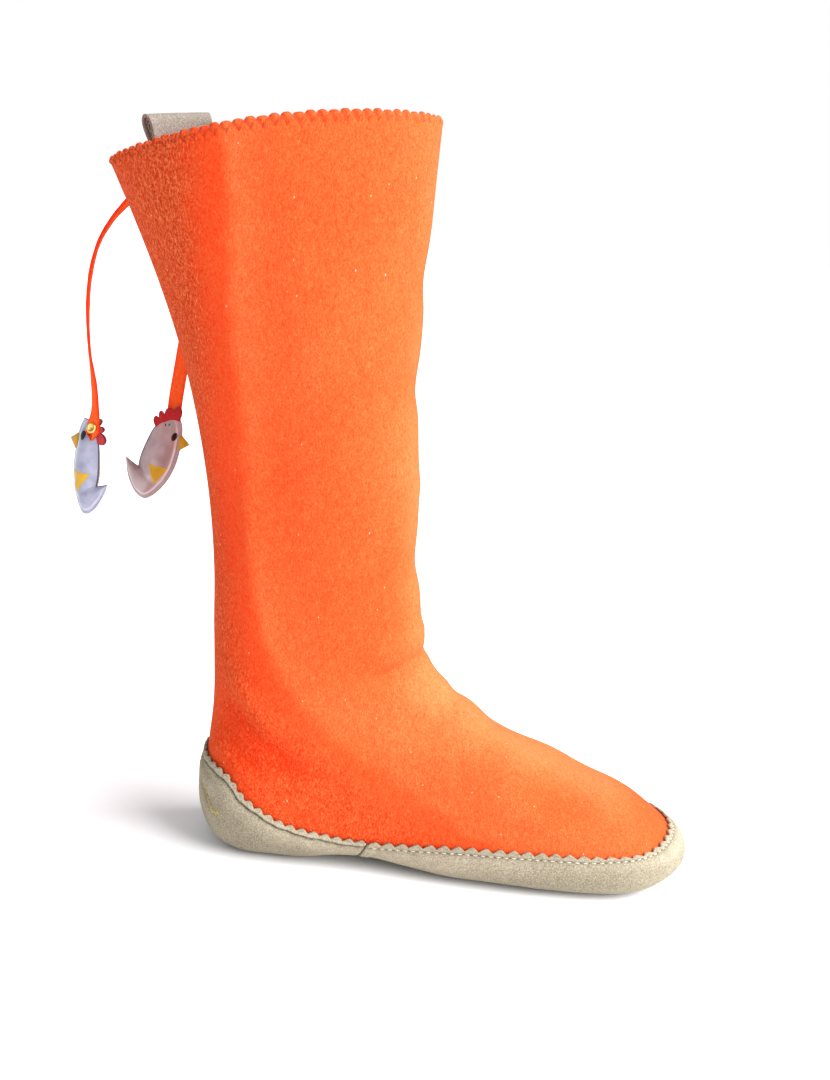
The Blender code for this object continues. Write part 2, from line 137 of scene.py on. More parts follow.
class Finish:
    """A material being made: its nodes and its Principled shader."""

    def __init__(self, name, **same_all_over):
        self.made = bpy.data.materials.new(name)
        self.made.use_nodes = True
        self.tree = self.made.node_tree
        self.shader = self.tree.nodes["Principled BSDF"]
        for socket, value in same_all_over.items():
            self.shader.inputs[socket.replace("_", " ")].default_value = value
        self.place = self.node("ShaderNodeTexCoord", output="Object")

    def node(self, kind, settings=None, values=None, output=0):
        """A node of that type, with its settings made and its sockets set or linked, as its output."""
        made = self.tree.nodes.new(kind)
        for name, value in (settings or {}).items():
            if name == "stops":
                ramp = made.color_ramp.elements
                while len(ramp) < len(value):
                    ramp.new(0.5)
                for element, (position, colour) in zip(ramp, value):
                    element.position, element.color = position, colour
            else:
                setattr(made, name, value)
        for name, value in (values or {}).items():
            if isinstance(value, Signal):
                self.tree.links.new(value.socket, made.inputs[name])
            else:
                made.inputs[name].default_value = value
        return Signal(self, made.outputs[output])

    def turned(self, turn, stretch):
        values = {"Vector": self.place, "Rotation": tuple(map(radians, turn)), "Scale": stretch}
        return self.node("ShaderNodeMapping", {}, values)

    def noise(self, size, detail=2.0, roughness=0.5, place=None):
        """Noise from 0 to 1 whose features are about size millimetres across."""
        values = {"Vector": place or self.place, "Scale": 1 / (size * MM), "Detail": detail, "Roughness": roughness}
        return self.node("ShaderNodeTexNoise", {}, values)

    def specks(self, spacing, radius, place):
        """1 in round specks of that radius, about a spacing apart, and 0 elsewhere."""
        cells = self.node("ShaderNodeTexVoronoi", {}, {"Vector": place, "Scale": 1 / (spacing * MM)})
        return 1 - cells.step(0.6 * radius / spacing, radius / spacing)

    def attribute(self, name):
        return self.node("ShaderNodeAttribute", {"attribute_name": name}, output="Fac")

    def mix(self, share, *colours):
        first, second = (c if isinstance(c, Signal) else srgb(c) for c in colours)
        return self.node("ShaderNodeMix", {"data_type": "RGBA"}, {0: share, 6: first, 7: second}, 2)

    def ramp(self, shade, *colours):
        stops = [(place, srgb(colour)) for place, colour in zip((0.1, 0.5, 0.9), colours)]
        return self.node("ShaderNodeValToRGB", {"stops": stops}, {"Fac": shade})

    def bump(self, height, depth, strength=1.0, under=None):
        """A bump of that height, depth millimetres deep, on top of another bump."""
        values = {"Height": height, "Distance": depth * MM, "Strength": strength}
        if under:
            values["Normal"] = under
        return self.node("ShaderNodeBump", {}, values)

    def feed(self, **sockets):
        for name, signal in sockets.items():
            self.tree.links.new(signal.socket, self.shader.inputs[name.replace("_", " ")])
        return self.made


def felt_finish(name, deep, middle, light, specks=0.0):
    """Napped felt: a fine grain of fibres, brushed one way, with the painted shade and light its attributes carry."""
    finish = Finish(
        name, Roughness=0.92, Sheen_Weight=0.7, Sheen_Roughness=0.4, Sheen_Tint=srgb(middle), Specular_IOR_Level=0.12
    )
    brushed = finish.turned((25, 40, 10), (1.0, 1.0, 0.55))
    cloudy = finish.noise(40, 3)
    tufts = finish.noise(2.6, 2, 0.5, brushed)
    grains = finish.noise(1.1, 3, 0.65, brushed)
    fibres = finish.noise(0.55, 2, 0.7, brushed)
    rough = finish.attribute("rough")
    # The fold attribute adds painted shade and light; rough raises the grains' contrast, partly painted shade.
    shade = (cloudy - 0.5) * 0.2 + (tufts - 0.5) * 0.25 + (grains - 0.5) * (rough * 1.3 + 0.6)
    shade = shade + (fibres - 0.5) * (rough * 1.2 + 0.6) + finish.attribute("fold") + 0.5
    colour = finish.ramp(shade, deep, middle, light)
    # Painted shade: the rough back, turned from the light, is darkened towards deep brown in flecks.
    colour = finish.mix(rough * (grains * -1.6 + 1.26), colour, (140, 30, 2))
    if specks:
        lint = finish.specks(7.5, 0.32, finish.turned((0, 52, 0), (1.0, 1.0, 0.45)))
        lint = lint + finish.specks(9.0, 0.27, finish.turned((30, -35, 0), (1.0, 1.0, 0.5)))
        colour = finish.mix(lint * specks, colour, (250, 214, 188))
    soft = finish.bump((tufts * 0.5 + grains) * (rough * 0.9 + 0.8), 0.5, 0.9)
    return finish.feed(Base_Color=colour, Normal=finish.bump(fibres, 0.2, 0.7, soft))


def between_rows(table, slopes, row, t, step=1.0):
    """A smooth curve through a table's rows, a share t of the step from each row to the next."""
    return (
        (1 + 2 * t) * (1 - t) ** 2 * table[row]
        + t * (1 - t) ** 2 * step * slopes[row]
        + t**2 * (3 - 2 * t) * table[row + 1]
        - t**2 * (1 - t) * step * slopes[row + 1]
    )


def smooth_route(table, share):
    """Points of the curve through a table's rows, at shares of the way through it."""
    place = share * (len(table) - 1)
    row = np.minimum(place.astype(int), len(table) - 2)
    return between_rows(table, np.gradient(table, axis=0), row, (place - row)[:, None])


def unit(vectors):
    return vectors / np.linalg.norm(vectors, axis=-1, keepdims=True)


def lengths_along(lines):
    """How far along its line each point is."""
    steps = np.linalg.norm(np.diff(lines, axis=-2), axis=-1)
    return np.concatenate([0 * steps[..., :1], np.cumsum(steps, axis=-1)], axis=-1)


def bell(distance, reach):
    """1 at no distance, falling off smoothly over that reach."""
    return np.exp(-((distance / reach) ** 2))


def grid_places(bm):
    return np.array([vert.co for vert in bm.verts])


def flat_grid(columns, rows):
    """A flat grid to be moved into a piece's shape, and its vertices' places on it, from 0 to 1."""
    bm = bmesh.new()
    bmesh.ops.create_grid(bm, x_segments=columns, y_segments=rows, size=0.5)
    bmesh.ops.translate(bm, verts=bm.verts, vec=(0.5, 0.5, 0.0))
    return bm, grid_places(bm)


def move_all(bm, points, scale=MM, **kept):
    """Moves each vertex to its point and stores its own value under each name."""
    layers = [(bm.verts.layers.float.new(name), values) for name, values in kept.items()]
    for index, (vert, point) in enumerate(zip(bm.verts, points * scale)):
        vert.co = point
        for layer, values in layers:
            vert[layer] = values[index]


def make_piece(name, bm, finishes, sharp=180, weld=0.0, close=False):
    """An object from a mesh, welded and closed where it needs it, riding on the boot."""
    if weld:
        bmesh.ops.remove_doubles(bm, verts=bm.verts, dist=weld)
    if close:
        bmesh.ops.holes_fill(bm, edges=[rim for rim in bm.edges if rim.is_boundary])
        bmesh.ops.recalc_face_normals(bm, faces=bm.faces)
    mesh = bpy.data.meshes.new(name)
    bm.to_mesh(mesh)
    bm.free()
    mesh.shade_smooth()
    if sharp < 180:
        mesh.set_sharp_from_angle(angle=radians(sharp))
    for finish in finishes:
        mesh.materials.append(finish)
    made = bpy.data.objects.new(name, mesh)
    bpy.context.collection.objects.link(made)
    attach(made, "root")
    return made


def thicken(made, thickness, offset=0.0, uneven=False):
    """Thickens a sheet about its middle, with a cut edge, or inwards, by its own shares if it is uneven."""
    solidify = made.modifiers.new("Thickness", "SOLIDIFY")
    solidify.thickness, solidify.offset = thickness * MM, offset
    solidify.material_offset_rim = 0 if offset else 1
    if uneven:
        solidify.vertex_group = made.vertex_groups.new(name="thickness").name
        for index, share in enumerate(made.data.attributes["thickness"].data):
            made.vertex_groups["thickness"].add([index], share.value, "REPLACE")


def make_tie(name, table, seed, finish):
    """A strip whose section is a rounded oblong, swept along its route down to its point."""
    route = smooth_route(table, np.linspace(0, 1, TIE_ROWS + 1))
    along = unit(np.gradient(route[:, :3], axis=0))
    heading = np.radians(route[:, 3])
    width = np.stack([np.cos(heading), np.sin(heading), 0 * heading], axis=1)
    out = unit(np.cross(width, along))
    bm, grid = flat_grid(TIE_AROUND, TIE_ROWS)
    row = np.rint(grid[:, 1] * TIE_ROWS).astype(int)
    turn = 2 * pi * grid[:, 0]
    across, thick = (np.sign(v) * np.abs(v) ** TIE_ROUNDING for v in (np.cos(turn), np.sin(turn)))
    near_end = np.clip(1 - (1 - grid[:, 1]) / TIE_POINT_SHARE, 0, 1) ** 2
    wander = np.sin(route[row, 2] * 0.35 + seed) * 0.10 + np.sin(route[row, 2] * 0.83 + 2 * seed) * 0.07
    half = TIE_WIDTH / 2 * (1 + 0.4 * wander / TIE_WIDTH)
    points = route[row, :3] + across[:, None] * half[:, None] * width[row]
    points += thick[:, None] * (TIE_THICKNESS / 2) * (1 + 0.6 * wander[:, None]) * out[row]
    points -= (near_end * np.abs(across) * TIE_POINT)[:, None] * along[row]
    # The fold attribute paints light on the strip's flat faces and shade on its rounded edges.
    move_all(bm, points, fold=0.3 - 0.6 * np.abs(across) ** 5)
    return make_piece(name, bm, [finish], sharp=60, weld=1e-6, close=True), route[:, :3] * MM


tie_felt = felt_finish("tie felt", (232, 42, 6), (242, 66, 16), (242, 100, 44))
hanging_tie_a, path_a = make_tie("hanging_tie_a", TIE_A, 0.4, tie_felt)
hanging_tie_b, path_b = make_tie("hanging_tie_b", TIE_B, 2.1, tie_felt)
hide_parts("tie_a")
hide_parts("tie_b")


# ---- The hens
# A small padded hen of two layers of satin, sealed round the edge, hangs on each tie. Its comb and
# beak are felt caught in the seam, its wings are printed, and a brass rivet goes through its head.

# Ribs from the crown of the head down the body and round into the tail: the two coordinates of a
# rib's end at the back, the two of its end at the breast, its bulge, and half the padding there.
HEN_RIBS = np.array([
    (-2, 17.8, 10.4, 21.4, 2.4, 0),
    (-3.4, 15.8, 11.3, 18, 1.5, 2),
    (-5.2, 12.4, 11.3, 13, 0.4, 3.5),
    (-7, 8.6, 10.2, 6.2, 0, 4.5),
    (-8.6, 4.8, 8.8, 0.6, 0, 5.1),
    (-9.8, 1, 6.8, -4.6, 0, 5.4),
    (-10.5, -2.6, 3.6, -10.2, 0, 5.4),
    (-11, -2.2, -0.2, -14.6, 0, 5.1),
    (-11.6, -1.7, -4.1, -17.7, 0, 4.7),
    (-12.3, -1.2, -8, -18.9, 0, 4.4),
    (-13.1, -0.5, -11.8, -16.2, 0, 3.5),
    (-14, 0.2, -14.4, -11.2, 0, 2.5),
    (-15.2, 1.2, -16, -5.4, 0, 1.4),
    (-16.6, 2.4, -16.6, 2.4, 0, 0),
])  # fmt: skip
HEN_ROWS = 84
HEN_COLUMNS = 30
SEAM_AT_BREAST = 2.4
SEAM_AT_BACK = 0.5
SEAM_THICK = 0.42
SEAM_EDGE = 0.26
RIVET_SPOT = (3.8, 18.0)
RIVET_DENT = 0.55
RIVET_LIFT = 0.15
COMB_HEIGHT = 4.9
# The notches' height as a share of the comb's, and how far its root reaches into the seam.
COMB_NOTCH = 0.42
COMB_ROOT = 1.2
# Where each comb is caught in the seam and the way it stands there, and where its lobes end and their heights.
COMB_A = np.array([
    (-3.2, 16.1, -1, 0.25), (-1.6, 18.2, -1, 0.5), (0.6, 20.1, -0.9, 0.7), (3.2, 21.6, -0.7, 0.9),
    (6, 22.3, -0.4, 1),
])  # fmt: skip
LOBES_A = ((0.42, 1.0), (0.65, 1.05), (0.9, 1.15), (1.0, 0.6))
COMB_B = np.array([
    (-2, 17.8, -0.4, 0.9), (1.1, 20.4, -0.3, 0.95), (4.2, 22, -0.15, 1), (7.3, 22.2, 0.05, 1),
    (10.4, 21.4, 0.35, 1),
])  # fmt: skip
LOBES_B = ((0.2, 0.86), (0.41, 1.0), (0.73, 1.0), (1.0, 1.15))
TRIM = 1.4
BEAK = ((10.0, 13.3), (9.0, 5.8), (10.0, 5.8), (14.8, 8.4), (11.0, 13.3))
WING = ((-5.6, -0.2), (4.0, -3.0), (-3.4, -11.4))
WING_CUT = ((-5.4, -9.6), (-1.0, -10.6))
EYE = (7.2, 12.8)
EYE_SIZE = (1.45, 0.42, 2.15)
EYE_TILT = 25.0
# The prongs' places across the head, and their tilts.
PRONGS = ((2.9, -20), (4.7, 35))
PRONG_HEIGHT = 18.7
PRONG_SIZE = (0.28, 0.22, 0.85)
RIVET_PROFILE = ((0.0, 0.2), (0.6, 0.2), (1.05, 0.35), (1.35, 0.75), (1.65, 1.08), (2.05, 1.22), (2.5, 1.05),
                 (2.8, 0.65), (2.95, 0.0), (2.0, -0.1), (0.0, -0.1))  # fmt: skip


def add_strand(bm, line, radius, out, around=6, flat=0.8):
    """A thread along a line of points. radius may taper along it, and flat presses it down."""
    radius = np.broadcast_to(radius, len(line))
    along = unit(np.gradient(line, axis=0))
    beside = unit(np.cross(along, out))
    up = np.cross(beside, along)
    made = bmesh.ops.create_grid(bm, x_segments=around, y_segments=len(line) - 1, size=0.5)["verts"]
    for vert in made:
        turn, row = 2 * pi * (vert.co.x + 0.5), round((vert.co.y + 0.5) * (len(line) - 1))
        around_it = cos(turn) * beside[row] + flat * sin(turn) * up[row]
        vert.co = (line[row] + radius[row] * around_it) * MM
    bmesh.ops.remove_doubles(bm, verts=made, dist=1e-6)


def hen_rib(rib, w):
    """A point across a rib in the hen's flat plane, from the back at 0 to the breast at 1."""
    a = rib[:, 0] + (rib[:, 2] - rib[:, 0]) * w
    return a, rib[:, 1] + (rib[:, 3] - rib[:, 1]) * w + rib[:, 4] * np.sin(pi * w)


def hen_padding(rib, w, a, b):
    """Half the thickness across a rib, flat along the sealed seam and pinched at the rivet, with a crease
    before the tail, and the ridge where the padding ends at the breast."""
    length = np.hypot(rib[:, 2] - rib[:, 0], rib[:, 3] - rib[:, 1]) + 0.01
    to_back, to_breast = w * length, (1 - w) * length
    ridge = bell(to_breast - SEAM_AT_BREAST - 0.5, 0.6) * np.clip(rib[:, 5] / 2.5, 0, 1)
    full = np.clip((to_back - SEAM_AT_BACK) / np.maximum(length - SEAM_AT_BACK - SEAM_AT_BREAST, 0.01), 0, 1)
    rim = SEAM_THICK * np.sqrt(np.clip(np.minimum(to_back, to_breast) / 0.5, 0, 1)) + 0.45 * ridge
    puff = rim + np.maximum(rib[:, 5] - SEAM_THICK, 0) * np.sin(pi * full) ** 0.68
    crease = bell((a + 9.8) * 0.78 + (b + 3.4) * 0.62, 1.5) * np.clip(1 - np.hypot(a + 8.2, b + 6.4) / 7.5, 0, 1)
    wrinkles = np.sin(0.55 * a + 0.25 * b) * np.sin(0.42 * b - 0.2 * a)
    puff -= 1.1 * crease * np.minimum(full * 4, 1) + 0.28 * wrinkles * np.minimum(full * 3, 1)
    dent = RIVET_DENT * bell(np.hypot(a - RIVET_SPOT[0], b - RIVET_SPOT[1]), 2.9)
    return np.maximum(puff * (1 - dent), rim * 0.9), ridge


def hen_body_mesh():
    """Both faces of the body, welded along the seam."""
    bm = bmesh.new()
    for face in (-1, 1):
        side, grid = flat_grid(HEN_COLUMNS, HEN_ROWS)
        rib = smooth_route(HEN_RIBS, grid[:, 1] * 0.99999)
        w = (1 - np.cos(pi * (grid[:, 0] if face > 0 else 1 - grid[:, 0]))) / 2
        a, b = hen_rib(rib, w)
        y, ridge = hen_padding(rib, w, a, b)
        y[(w < 1e-6) | (w > 1 - 1e-6)] = 0.0
        # The ridge is also kept for the satin's painted highlight along it.
        move_all(side, np.stack([a, face * y, b], axis=1), 1.0, ridge=ridge)
        held = bpy.data.meshes.new("half")
        side.to_mesh(held)
        side.free()
        bm.from_mesh(held)
        bpy.data.meshes.remove(held)
    bmesh.ops.remove_doubles(bm, verts=bm.verts, dist=1e-4)
    bmesh.ops.dissolve_degenerate(bm, edges=bm.edges, dist=1e-5)
    bmesh.ops.recalc_face_normals(bm, faces=bm.faces)
    return bm


def hen_comb_mesh(base, lobes):
    """Rounded lobes that stand on the seam along a line of the head, each point leaning its own way."""
    bm, grid = flat_grid(64, 6)
    w = grid[:, 0]
    foot = smooth_route(base, w * 0.99999)
    ends, tops = zip((0.0, 0.0), *lobes)
    lobe = np.interp(w, ends, range(len(ends)))
    top = np.array(tops)[np.minimum(lobe.astype(int) + 1, len(lobes))]
    height = COMB_HEIGHT * (COMB_NOTCH + (top - COMB_NOTCH) * np.abs(np.sin(pi * lobe)) ** 0.55)
    up = -COMB_ROOT + (height + COMB_ROOT) * grid[:, 1]
    move_all(bm, np.stack([foot[:, 0] + foot[:, 2] * up, 0 * w, foot[:, 1] + foot[:, 3] * up], axis=1), 1.0)
    return bm


def hen_beak_mesh():
    bm = bmesh.new()
    corners = [bm.verts.new((a, 0.0, b)) for a, b in BEAK]
    bm.faces.new(corners)
    bmesh.ops.bevel(bm, geom=[corners[3]], offset=0.5, affect="VERTICES", segments=3, profile=0.5, material=-1)
    return bm


def hen_wing_mesh(body, face, shift):
    """A triangle cut from a fine grid and laid on the body's face."""
    bm, grid = flat_grid(40, 40)
    corners = np.array(WING) + shift
    low, high = corners.min(axis=0) - 0.2, corners.max(axis=0) + 0.2
    a, b = (low + (high - low) * grid[:, :2]).T
    move_all(bm, np.stack([a, 0 * a, b], axis=1), 1.0)
    middle = Vector((corners[:, 0].mean(), 0.0, corners[:, 1].mean()))
    for start, end in (corners[[0, 1]], corners[[1, 2]], corners[[2, 0]], np.array(WING_CUT) + shift):
        side = Vector((end[1] - start[1], 0.0, start[0] - end[0]))
        spot = Vector((start[0], 0.0, start[1]))
        if (middle - spot).dot(side) > 0:
            side = -side
        geometry = list(bm.verts) + list(bm.edges) + list(bm.faces)
        bmesh.ops.bisect_plane(bm, geom=geometry, plane_co=spot, plane_no=side, clear_outer=True)
    lay_on(bm, body, face, lift=0.1)
    return bm


def lay_on(bm, body, face, lift):
    """Drops a mesh onto one face of the body, each point keeping its own height above it."""
    for vert in bm.verts:
        hit = body.ray_cast(Vector((vert.co.x, face * 30.0, vert.co.z)), Vector((0.0, -face, 0.0)))[0]
        hit = hit or body.find_nearest(Vector((vert.co.x, face * 2.0, vert.co.z)))[0]
        vert.co.y = hit.y + face * (lift + vert.co.y)


def add_button(bm, spot, tilt, size, segments):
    """A flattened ball in the hen's plane."""
    place = Matrix.LocRotScale(Vector((spot[0], 0.0, spot[1])), Euler((0.0, radians(tilt), 0.0)), Vector(size))
    bmesh.ops.create_uvsphere(bm, u_segments=segments[0], v_segments=segments[1], radius=1.0, matrix=place)


def hen_eye_mesh(body, face, shift):
    bm = bmesh.new()
    add_button(bm, np.array(EYE) + shift, EYE_TILT, EYE_SIZE, (28, 14))
    lay_on(bm, body, face, lift=0.08)
    return bm


def rivet_mesh():
    """The rivet's head, turned on its axis from half its section."""
    bm = bmesh.new()
    line = [bm.verts.new((r, 0.0, z)) for r, z in RIVET_PROFILE]
    edges = [bm.edges.new(pair) for pair in zip(line, line[1:])]
    bmesh.ops.spin(bm, geom=line + edges, axis=(0, 0, 1), cent=(0, 0, 0), angle=2 * pi, steps=28, use_merge=True)
    bmesh.ops.remove_doubles(bm, verts=bm.verts, dist=1e-4)
    bmesh.ops.recalc_face_normals(bm, faces=bm.faces)
    return bm


def prongs_mesh(body):
    """The rivet's two bent prongs, which show as small bars on the head's right, the tie being on its left."""
    bm = bmesh.new()
    for a, tilt in PRONGS:
        add_button(bm, (a, PRONG_HEIGHT), tilt, PRONG_SIZE, (12, 8))
    lay_on(bm, body, -1, lift=0.05)
    return bm


def hen_edge_mesh():
    """The dark cut edge of the seam, up the back from the tail's tip to the crown."""
    rib = smooth_route(HEN_RIBS, np.linspace(0.99992, 0, 90))
    a, b = hen_rib(rib, np.zeros(90))
    bm = bmesh.new()
    add_strand(bm, np.stack([a, 0 * a, b], axis=1) / MM, SEAM_EDGE / MM, (0.0, 1.0, 0.0), flat=1.6)
    bmesh.ops.recalc_face_normals(bm, faces=bm.faces)
    return bm


def satin_finish(name, colour, shadow, crease):
    """Satin: a fine thread seen only as sheen, soft darker soiling in clouds, and a painted highlight on the breast's
    ridge.
    """
    finish = Finish(
        name, Specular_IOR_Level=0.6, Anisotropic=0.5, Sheen_Weight=0.25, Sheen_Roughness=0.3,
        Coat_Weight=0.25, Coat_Roughness=0.3,
    )  # fmt: skip
    cloudy = finish.noise(9, 3)
    threads = finish.noise(0.34, place=finish.turned((0, 0, 0), (0.06, 0.06, 1.0)))
    colour = finish.mix((cloudy - 0.3).step(0.0, 0.45), shadow, colour)
    colour = finish.mix(threads * 0.35, colour, shadow)
    # Painted highlight: the ridge where the padding ends at the breast is lightened towards the crease colour.
    colour = finish.mix(finish.attribute("ridge") * 0.7, colour, crease)
    rough = finish.noise(2.5) * 0.16 + 0.26
    return finish.feed(Base_Color=colour, Roughness=rough, Normal=finish.bump(threads, 0.05, 0.6))


def trim_finish(name, colour, shadow, roughness=0.8):
    """Thin stiff felt for the combs, beaks and wings."""
    finish = Finish(name, Roughness=roughness, Sheen_Weight=0.2, Specular_IOR_Level=0.3)
    flecks = finish.noise(0.7, 3, 0.6)
    colour = finish.mix((flecks * 0.6 + finish.noise(4) * 0.4).step(0.3, 0.7), shadow, colour)
    return finish.feed(Base_Color=colour, Normal=finish.bump(flecks, 0.12, 0.6))


def worn_metal(name, colour, shadow, metallic):
    finish = Finish(name, Metallic=metallic)
    scratches = finish.noise(0.5, 3, 0.6)
    return finish.feed(Base_Color=finish.mix(scratches, shadow, colour), Roughness=scratches * 0.2 + 0.12)


red_felt = trim_finish("red felt", (182, 30, 34), (156, 20, 26))
red_cut = trim_finish("red felt, cut edge", (96, 14, 24), (56, 8, 16))
yellow_felt = trim_finish("yellow felt", (196, 148, 14), (176, 124, 8))
yellow_cut = trim_finish("yellow felt, cut edge", (150, 116, 30), (110, 84, 24))
yellow_print = trim_finish("yellow print", (200, 156, 12), (182, 136, 8), 0.5)
eye_black = worn_metal("glossy black", (26, 24, 26), (14, 12, 14), 0.0)
brass = worn_metal("brass", (238, 208, 128), (196, 156, 80), 1.0)
dark_edge = worn_metal("sealed edge", (92, 82, 92), (64, 56, 66), 0.0)
dull_brass = worn_metal("dull prongs", (96, 74, 56), (52, 38, 30), 0.6)


def make_hen(letter, size, place, heading, lean, comb, lobes, satin, table, back, shift):
    """A hen and its pieces, hung on a tie by a rivet some way back from its end.
    shift moves the prints on its faces."""
    turn = Matrix.Rotation(radians(heading), 4, "Z") @ Matrix.Rotation(radians(-lean), 4, "Y")
    seat = Matrix.Translation(Vector(place) * MM) @ turn @ Matrix.Scale(size * MM, 4)

    def hang(word, bm, finishes, node="", thickness=0.0, seat=seat):
        bmesh.ops.transform(bm, matrix=seat, verts=bm.verts)
        made = make_piece(f"hen_{letter}_{word}", bm, finishes, sharp=50)
        if thickness:
            thicken(made, thickness)
        if node:
            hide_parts(f"hen_{letter}_{node}")

    body = hen_body_mesh()
    tree = BVHTree.FromBMesh(body)
    hang("satin", body, [satin], "body")
    hang("crest", hen_comb_mesh(comb, lobes), [red_felt, red_cut], "comb", TRIM)
    hang("bill", hen_beak_mesh(), [yellow_felt, yellow_cut], "beak", TRIM)
    for side, word in ((-1, "right"), (1, "left")):
        hang(f"wing_{word}", hen_wing_mesh(tree, side, shift), [yellow_print])
        hang(f"eye_{word}", hen_eye_mesh(tree, side, shift), [eye_black])
    hang("seam_edge", hen_edge_mesh(), [dark_edge])
    hang("prongs", prongs_mesh(tree), [dull_brass])
    route = smooth_route(table, np.linspace(0, 1, 101))
    width = radians(route[-back, 3])
    along = Vector(route[-back, :3] - route[-back - 2, :3])
    normal = Vector((cos(width), sin(width), 0)).cross(along).normalized()
    spot = Vector(route[-back, :3]) + (TIE_THICKNESS / 2 + RIVET_LIFT) * normal
    lie = Matrix.Translation(spot * MM) @ normal.to_track_quat("Z", "Y").to_matrix().to_4x4() @ Matrix.Scale(MM, 4)
    hang("rivet_head", rivet_mesh(), [brass], "rivet", seat=lie)


# One satin in two copies: bluish as painted light on hen a, pinkish as painted orange light bounced from the boot on
# hen b.
satin_painted_bluish = satin_finish("white satin", (161, 163, 183), (128, 130, 154), (204, 206, 226))
satin_painted_orange = satin_finish("satin, painted orange bounce", (182, 160, 162), (152, 130, 132), (232, 222, 222))
make_hen(
    "a", size=1.115, place=(-105.2, 13.9, 189.5), heading=139, lean=21.5, comb=COMB_A, lobes=LOBES_A,
    satin=satin_painted_bluish, table=TIE_A, back=9, shift=(-1.6, 2.4),
)  # fmt: skip
make_hen(
    "b", size=1.06, place=(-71.2, 40.9, 191.8), heading=10, lean=3.6, comb=COMB_B, lobes=LOBES_B,
    satin=satin_painted_orange, table=TIE_B, back=6, shift=(0.0, 0.0),
)  # fmt: skip


# ---- The felt
# One piece of thick napped felt, from the vamp up to the collar, brushed downwards. It stands by
# itself in soft folds, and its top edge is caught by a zigzag stitch that draws it into scallops.

FELT = 3.0
SUEDE = 2.0
SHEET_GAP = 0.4
TOE_PLAN_RADIUS = 45.0
# The sizes that the toe rounds off, with its radius and the middle it rounds towards.
TOE_ROUNDINGS = (("half_width", TOE_PLAN_RADIUS, 0.0), ("ridge_z", 30.0, 15.5), ("keel_z", 30.0, 15.5))
FELT_LAP = 6.0
COLLAR_RISE = 9.0
COLLAR_RISE_START = 430.0
# The sections from the toe tip to the collar. Each lies between a point on the ridge (instep, shin)
# and a point on the keel (sole, heel, back of the leg), and is widest some way down from the ridge.
COLUMNS = (
    "station", "ridge_x", "ridge_z", "keel_x", "keel_z",
    "half_width", "widest", "ridge_power", "keel_power", "suede_z",
)  # fmt: skip
SECTIONS = np.array([
    (0, 226.5, 30, 226.5, 3.5, 36, 0.62, 2, 2.4, 31),
    (12, 214.5, 35, 214.5, 3.8, 39, 0.66, 2, 2.6, 29),
    (26, 200.5, 41, 200.5, 3, 41.5, 0.7, 2.1, 3, 26.5),
    (50, 176.5, 51, 176.5, 1.7, 43.5, 0.73, 2.1, 3.4, 25.5),
    (76, 150.5, 62.5, 150.5, 1.6, 44.5, 0.74, 2.1, 3.5, 26),
    (103, 125, 74.5, 121, 1.6, 42.5, 0.74, 2, 3.5, 25),
    (127, 107.5, 84, 95, 1.8, 39.5, 0.74, 2, 3.5, 23.5),
    (143, 98.5, 89.5, 75, 4.2, 37, 0.73, 2, 3.4, 21.5),
    (159, 91.5, 95, 56, 6.6, 35.3, 0.72, 2, 3.4, 20),
    (173, 86.5, 100, 38, 5, 34.5, 0.7, 2, 3.3, 20.3),
    (186, 83, 104.5, 21, 2, 34.3, 0.68, 2, 3.2, 22),
    (198, 80.5, 108.5, 4, 1.6, 34.5, 0.65, 2, 3.1, 24.3),
    (210, 78.8, 112.5, -12, 2, 35, 0.61, 2, 2.9, 28),
    (221, 77.4, 116, -24.5, 8.5, 35.6, 0.57, 2, 2.7, 33.5),
    (231, 76.2, 119.5, -30.3, 21, 36.5, 0.55, 2, 2.5, 40),
    (240, 75.2, 122.5, -31.7, 35, 37.2, 0.53, 2, 2.4, 47.5),
    (252, 74.2, 126.5, -31.2, 52.5, 38, 0.52, 2, 2.3, 52.5),
    (268, 73, 133, -30.3, 75, 39, 0.51, 2, 2.2, 60),
    (285, 71.8, 143, -31, 96, 40, 0.5, 2, 2.1, 70),
    (306, 69.5, 157, -32.8, 120, 41, 0.5, 2, 2, 80),
    (333, 67, 178, -34.5, 147, 42.5, 0.5, 2, 2, 90),
    (375, 63.3, 214, -40.5, 190, 44.5, 0.5, 2, 1.95, 100),
    (427, 59.5, 264, -53.5, 243, 47.5, 0.5, 1.9, 1.85, 110),
    (475, 58.5, 313, -70, 287, 51, 0.5, 1.8, 1.75, 120),
    (511, 58.3, 349, -85.5, 320, 53, 0.5, 1.75, 1.65, 130),
    (540, 58.5, 379, -98, 344.5, 54, 0.5, 1.7, 1.6, 140),
])  # fmt: skip
STATIONS = SECTIONS[:, 0]
SLOPES = np.gradient(SECTIONS, STATIONS, axis=0)
TOE_RUN = TOE_PLAN_RADIUS * pi / 2
COLLAR = STATIONS[-1] - TOE_PLAN_RADIUS + TOE_RUN
RUN_CELLS = 1130
SIDE_CELLS = 360

FELT_COLUMNS = 200
FELT_PITCH = 2.75
SCALLOPS = 75
SCALLOP_DEPTH = 1.3
STITCH_DEPTH = 4.4
COLLAR_BAND = (8.0, 5.3, 2.6, 0.0)
COLLAR_ROUND = 2.4
EDGE_THICKNESS = 0.9


def section_sizes(run):
    """The table's columns at some runs, which are distances from the toe tip."""
    toe = TOE_PLAN_RADIUS * (1 - np.cos(np.minimum(run, TOE_RUN) / TOE_PLAN_RADIUS))
    station = np.clip(toe + np.maximum(run - TOE_RUN, 0), 0, STATIONS[-1])
    row = np.clip(np.searchsorted(STATIONS, station, side="right") - 1, 0, len(STATIONS) - 2)
    step = (STATIONS[row + 1] - STATIONS[row])[:, None]
    t = (station - STATIONS[row])[:, None] / step
    sizes = dict(zip(COLUMNS, between_rows(SECTIONS, SLOPES, row, t, step).T))
    for size, radius, middle in TOE_ROUNDINGS:
        rounding = np.sqrt(1 - np.maximum(1 - station / radius, 0) ** 2)
        sizes[size] = middle + (sizes[size] - middle) * rounding
    return sizes


